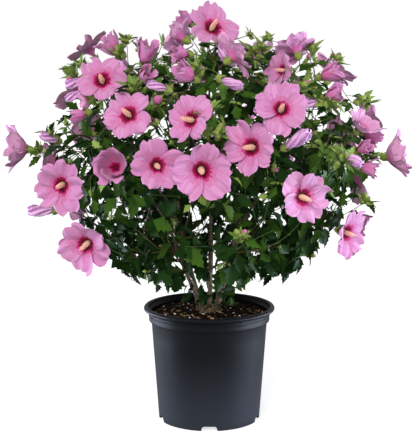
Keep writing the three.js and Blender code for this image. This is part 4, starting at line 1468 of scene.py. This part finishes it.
# ---------------------------------------------------------------------------------- stage

CAMERA = {"place": (-0.0069, -2.4488, 0.7835), "down": 8.12, "lens": 96.6, "sensor": 36}


def aim(name, light, place, way, glossy):
    """A lamp at a place, turned a way."""
    lamp = shown(name, light)
    lamp.location, lamp.visible_glossy = place, glossy
    lamp.rotation_euler = Vector(way).to_track_quat("-Z", "Y").to_euler()
    return lamp


def add_area_light(name, place, target, breadth, height, power, tint, glossy=True):
    light = bpy.data.lights.new(name, "AREA")
    light.shape, light.size, light.size_y, light.energy = "RECTANGLE", breadth, height, power
    light.color = tint[:3]
    aim(name, light, place, Vector(target) - Vector(place), glossy).visible_camera = False


def build_stage(stage):
    """A plain floor, a surround, three low lamps, a high one and the camera."""
    side = 30000
    corners = [(-side, -side, 0), (side, -side, 0), (side, side, 0), (-side, side, 0)]
    finish = plain("pale_floor", stage.floor, 0.9, specular=0.1)
    # The floor is lit through, like a light table, which keeps the shadows on it faint.
    glow = {"Emission Color": tuple(stage.surround), "Emission Strength": stage.floor_glow}
    feed(finish.node_tree, finish.node_tree.nodes["Principled BSDF"].inputs, glow)
    floor = Pile().add(corners, [(0, 1, 2, 3)]).piece("floor", finish)
    floor.visible_diffuse = floor.visible_glossy = False  # it throws no light back up
    scene = bpy.context.scene
    scene.world = bpy.data.worlds.new("soft_studio")
    scene.world.use_nodes = True
    tree = scene.world.node_tree
    # The surround gives most of its light from above. Where it is seen it is white.
    place = add_node(tree, "ShaderNodeTexCoord").outputs["Generated"]
    rise = add_node(tree, "ShaderNodeSeparateXYZ", {"Vector": place}).outputs["Z"]
    light = ranged(tree, rise, -0.3, 1.0, stage.surround_low, stage.surround_high)
    seen = add_node(tree, "ShaderNodeLightPath").outputs["Is Camera Ray"]
    strength = add_node(tree, "ShaderNodeMath", {0: light, 1: seen}, operation="MAXIMUM").outputs[0]
    inputs = {"Color": tuple(stage.surround), "Strength": strength}
    feed(tree, tree.nodes["Background"].inputs, inputs)
    scene.view_settings.view_transform = "Standard"
    sun = bpy.data.lights.new("key_light", "SUN")
    sun.energy, sun.angle = stage.key_strength, math.radians(25)
    aim("key_light", sun, (0, 0, 0), (0.25, 0.85, -0.62), glossy=False)  # a broad, matt light
    middle = (0, 0, 0.14)  # they stand no higher than the lip, and leave the inside dark
    power, tint = stage.side_power, stage.side_tint
    add_area_light("left_light", (-2.0, 0.55, 0.14), middle, 2.0, 0.24, power, tint)
    add_area_light("right_light", (2.1, 0.0, 0.14), middle, 2.4, 0.24, 1.3 * power, tint)
    # Soft light from low in front fills the shaded undersides, and leaves no gleam on the pot.
    fill = (stage.fill_power, stage.surround)
    add_area_light("fill_light", (0, -2.2, 0.1), (0, 0, 0.6), 1.6, 0.8, *fill, glossy=False)
    camera = bpy.data.cameras.new("camera")
    camera.lens, camera.sensor_width = CAMERA["lens"], CAMERA["sensor"]
    camera.clip_start, camera.clip_end = 0.1, 100
    scene.camera = shown("camera", camera)
    scene.camera.location = CAMERA["place"]
    scene.camera.rotation_euler = (math.radians(90 - CAMERA["down"]), 0, 0)


# ------------------------------------------------------------------------------- settings


def a_length(name, description, default):
    return FloatProperty(
        name=name, description=description, default=default, min=0, unit="LENGTH", subtype="DISTANCE"
    )


def a_colour(name, description, default):
    colours = {"default": linear(default), "size": 4, "min": 0, "max": 1, "subtype": "COLOR"}
    return FloatVectorProperty(name=name, description=description, **colours)


def a_share(name, description, default):
    return FloatProperty(
        name=name, description=description, default=default, min=0, max=1, subtype="FACTOR"
    )


class PotSettings(bpy.types.PropertyGroup):
    height: a_length("Height", "From the foot to the top of the lip", POT_HIGH.z)
    lip_radius: a_length("Lip Radius", "Outside the rolled lip", POT_HIGH.x)
    band_radius: a_length("Band Radius", "Outside the band under the lip", 0.129)
    foot_radius: a_length("Foot Radius", "Outside the foot ring", 0.1085)
    wall: a_length("Wall", "Thickness of the wall", 0.0024)
    arches: IntProperty(name="Arches", description="In the foot ring", default=5, min=1, max=12)
    colour: a_colour("Colour", "Dyed through the plastic", "#0a0d11")
    # Painted light: the paler colour at the pot's foot, for light from the floor.
    painted_foot_light: a_colour("Painted Foot Light", "Dried splashes at the foot", "#282c33")
    roughness: a_share("Roughness", "Of the moulded wall", 0.4)
    gloss: a_share("Gloss", "Strength of its reflection seen straight on", 0.3)


class SoilSettings(bpy.types.PropertyGroup):
    colour: a_colour("Colour", "Crumbs of the mix", "#2a1c13")
    litter: FloatProperty(name="Litter", description="Density of the chips", default=1, min=0, max=3)


class WoodSettings(bpy.types.PropertyGroup):
    thickness: FloatProperty(
        name="Thickness", description="Of all limbs", default=0.77, min=0.5, max=1.5
    )
    colour: a_colour("Bark", "Ridges of the bark", "#85705a")
    dark: a_colour("Cracks", "Between the ridges", "#43352a")
    lenticel: a_colour("Lenticels", "Corky spots", "#a8967e")
    twig: a_colour("Twigs", "Last year's twigs", "#5a4a35")
    shoot: a_colour("Shoots", "This year's shoots", "#405a2a")


class GrowthSettings(bpy.types.PropertyGroup):
    fine_shoots: IntProperty(
        name="Fine Shoots", description="Most in each mass", default=27, min=0, max=80
    )
    shoot_room: a_length("Shoot Room", "Least distance between shoot tips", 0.026)
    leaf_spacing: a_length("Leaf Spacing", "Along a shoot", 0.0166)
    leaf_length: a_length("Leaf Length", "With its stalk, low on a shoot", 0.06)


class LeafSettings(bpy.types.PropertyGroup):
    # Painted light and shade: deep also goes to leaves low and deep in the crown, bright to those
    # high and outside.
    deep: a_colour("Deep", "Old leaves", "#17320c")
    green: a_colour("Green", "Full-grown leaves", "#365519")
    bright: a_colour("Bright", "Leaves in full light", "#5c7c33")
    young: a_colour("Young", "Leaves at the tips", "#8aa34e")
    roughness: a_share("Roughness", "Of the upper face", 0.56)


class BloomSettings(bpy.types.PropertyGroup):
    eye_deep: a_colour("Deep Eye", "In the throat", "#6c0a2d")
    eye: a_colour("Eye", "Round the throat", "#981148")
    halo: a_colour("Halo", "Where the eye runs out", "#ba3a79")
    rose: a_colour("Rose", "Round the eye", "#c2709f")
    pink: a_colour("Pink", "Most of the petals", "#c37fac")
    pale: a_colour("Pale", "Most of paler petals", "#c98ab5")
    edge: a_colour("Edge", "The petals' rims", "#d09abe")
    # Partly painted light: the backs are paler for light through the thin petals.
    back: a_colour("Back", "The petals' undersides", "#e6a3cf")
    back_deep: a_colour("Deep Back", "At their feet, and of trumpets", "#cd68a2")
    # Partly painted shade: the folds' darker tone stands for the shade in their creases.
    spent_pale: a_colour("Spent, Pale", "Ridges of rolled blooms", "#dba6d2")
    spent_dark: a_colour("Spent, Dark", "Folds of rolled blooms", "#a873a6")
    column: a_colour("Column", "In the throat", "#f8bfaa")
    anther: a_colour("Anthers", "On the column", "#fcd9b8")
    sepal: a_colour("Sepals", "Calyces and buds", "#879645")
    tender: a_colour("Tender Leaves", "Among the buds", "#708a40")
    bud_tip: a_colour("Bud Tips", "Rolled petals in opening buds", "#bb6490")


class StageSettings(bpy.types.PropertyGroup):
    floor: a_colour("Floor", "A plain pale floor", "#b8b8b8")
    floor_glow: FloatProperty(name="Floor Glow", description="Light through the floor", default=0.7)
    surround: a_colour("Surround", "Light from all round", "#ffffff")
    surround_low: FloatProperty(name="Surround Low", description="Its strength below", default=0.24)
    surround_high: FloatProperty(name="Surround High", description="And overhead", default=0.62)
    key_strength: FloatProperty(name="Key Strength", description="High front light", default=2.32)
    fill_power: FloatProperty(
        name="Fill Power", description="Low lamp in front", default=20, unit="POWER"
    )
    side_tint: a_colour("Side Tint", "Of the low side lamps", "#dbe6ff")
    side_power: FloatProperty(
        name="Side Power", description="Low lamps at the sides", default=62, unit="POWER"
    )


SETTINGS = {
    "shrub_pot": PotSettings,
    "shrub_soil": SoilSettings,
    "shrub_wood": WoodSettings,
    "shrub_growth": GrowthSettings,
    "shrub_leaf": LeafSettings,
    "shrub_bloom": BloomSettings,
    "shrub_stage": StageSettings,
}


class SHRUB_OT_pot(bpy.types.Operator):
    """Builds the nursery pot with its lip, band and arched foot"""

    bl_idname = "shrub.pot"
    bl_label = "Nursery Pot"

    def execute(self, context):
        build_pot(context.scene.shrub_pot)
        return {"FINISHED"}


class SHRUB_OT_soil(bpy.types.Operator):
    """Fills the pot with potting mix and strews bark and perlite over it"""

    bl_idname = "shrub.soil"
    bl_label = "Potting Mix"

    def execute(self, context):
        build_soil(context.scene.shrub_soil)
        return {"FINISHED"}


class SHRUB_OT_wood(bpy.types.Operator):
    """Builds the root crown, stems and boughs in their bark"""

    bl_idname = "shrub.wood"
    bl_label = "Stems and Boughs"

    def execute(self, context):
        build_wood(context.scene.shrub_wood)
        return {"FINISHED"}


class SHRUB_OT_twigs(bpy.types.Operator):
    """Grows the twigs and shoots of every mass of foliage"""

    bl_idname = "shrub.twigs"
    bl_label = "Twigs"

    def execute(self, context):
        build_twigs(context.scene.shrub_wood)
        return {"FINISHED"}


class SHRUB_OT_leaves(bpy.types.Operator):
    """Stands the leaves on their twigs, in four greens"""

    bl_idname = "shrub.leaves"
    bl_label = "Leaves"

    def execute(self, context):
        build_leaves(context.scene.shrub_leaf)
        return {"FINISHED"}


class SHRUB_OT_blooms(bpy.types.Operator):
    """Opens the blooms, with their columns, and rolls up the spent ones"""

    bl_idname = "shrub.blooms"
    bl_label = "Blooms"

    def execute(self, context):
        build_blooms(context.scene.shrub_bloom)
        return {"FINISHED"}


class SHRUB_OT_buds(bpy.types.Operator):
    """Adds calyces, clusters of buds and the tender leaves among them"""

    bl_idname = "shrub.buds"
    bl_label = "Calyces and Buds"

    def execute(self, context):
        build_buds(context.scene.shrub_bloom)
        return {"FINISHED"}


class SHRUB_OT_stage(bpy.types.Operator):
    """Lays the floor and sets the lamps and the camera"""

    bl_idname = "shrub.stage"
    bl_label = "Stage"

    def execute(self, context):
        build_stage(context.scene.shrub_stage)
        return {"FINISHED"}


OPERATORS = (
    SHRUB_OT_pot,
    SHRUB_OT_soil,
    SHRUB_OT_wood,
    SHRUB_OT_twigs,
    SHRUB_OT_leaves,
    SHRUB_OT_blooms,
    SHRUB_OT_buds,
    SHRUB_OT_stage,
)


class SHRUB_PT_panel(bpy.types.Panel):
    """Lists the shrub's settings and its operators"""

    bl_label = "Rose of Sharon"
    bl_idname = "SHRUB_PT_panel"
    bl_space_type = "VIEW_3D"
    bl_region_type = "UI"
    bl_category = "Shrub"

    def draw(self, context):
        for name in SETTINGS:
            box = self.layout.box()
            settings = getattr(context.scene, name)
            for key in settings.__annotations__:
                box.prop(settings, key)
        for operator in OPERATORS:
            self.layout.operator(operator.bl_idname)


CLASSES = (*SETTINGS.values(), *OPERATORS, SHRUB_PT_panel)


def register():
    for cls in CLASSES:
        bpy.utils.register_class(cls)
    for name, cls in SETTINGS.items():
        setattr(bpy.types.Scene, name, PointerProperty(type=cls))


def unregister():
    for name in SETTINGS:
        delattr(bpy.types.Scene, name)
    for cls in reversed(CLASSES):
        bpy.utils.unregister_class(cls)


def main():
    register()
    bpy.ops.shrub.stage()
    bpy.ops.shrub.pot()
    bpy.ops.shrub.soil()
    bpy.ops.shrub.wood()
    bpy.ops.shrub.twigs()
    bpy.ops.shrub.leaves()
    bpy.ops.shrub.blooms()
    bpy.ops.shrub.buds()
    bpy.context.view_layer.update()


if __name__ == "__main__":
    main()
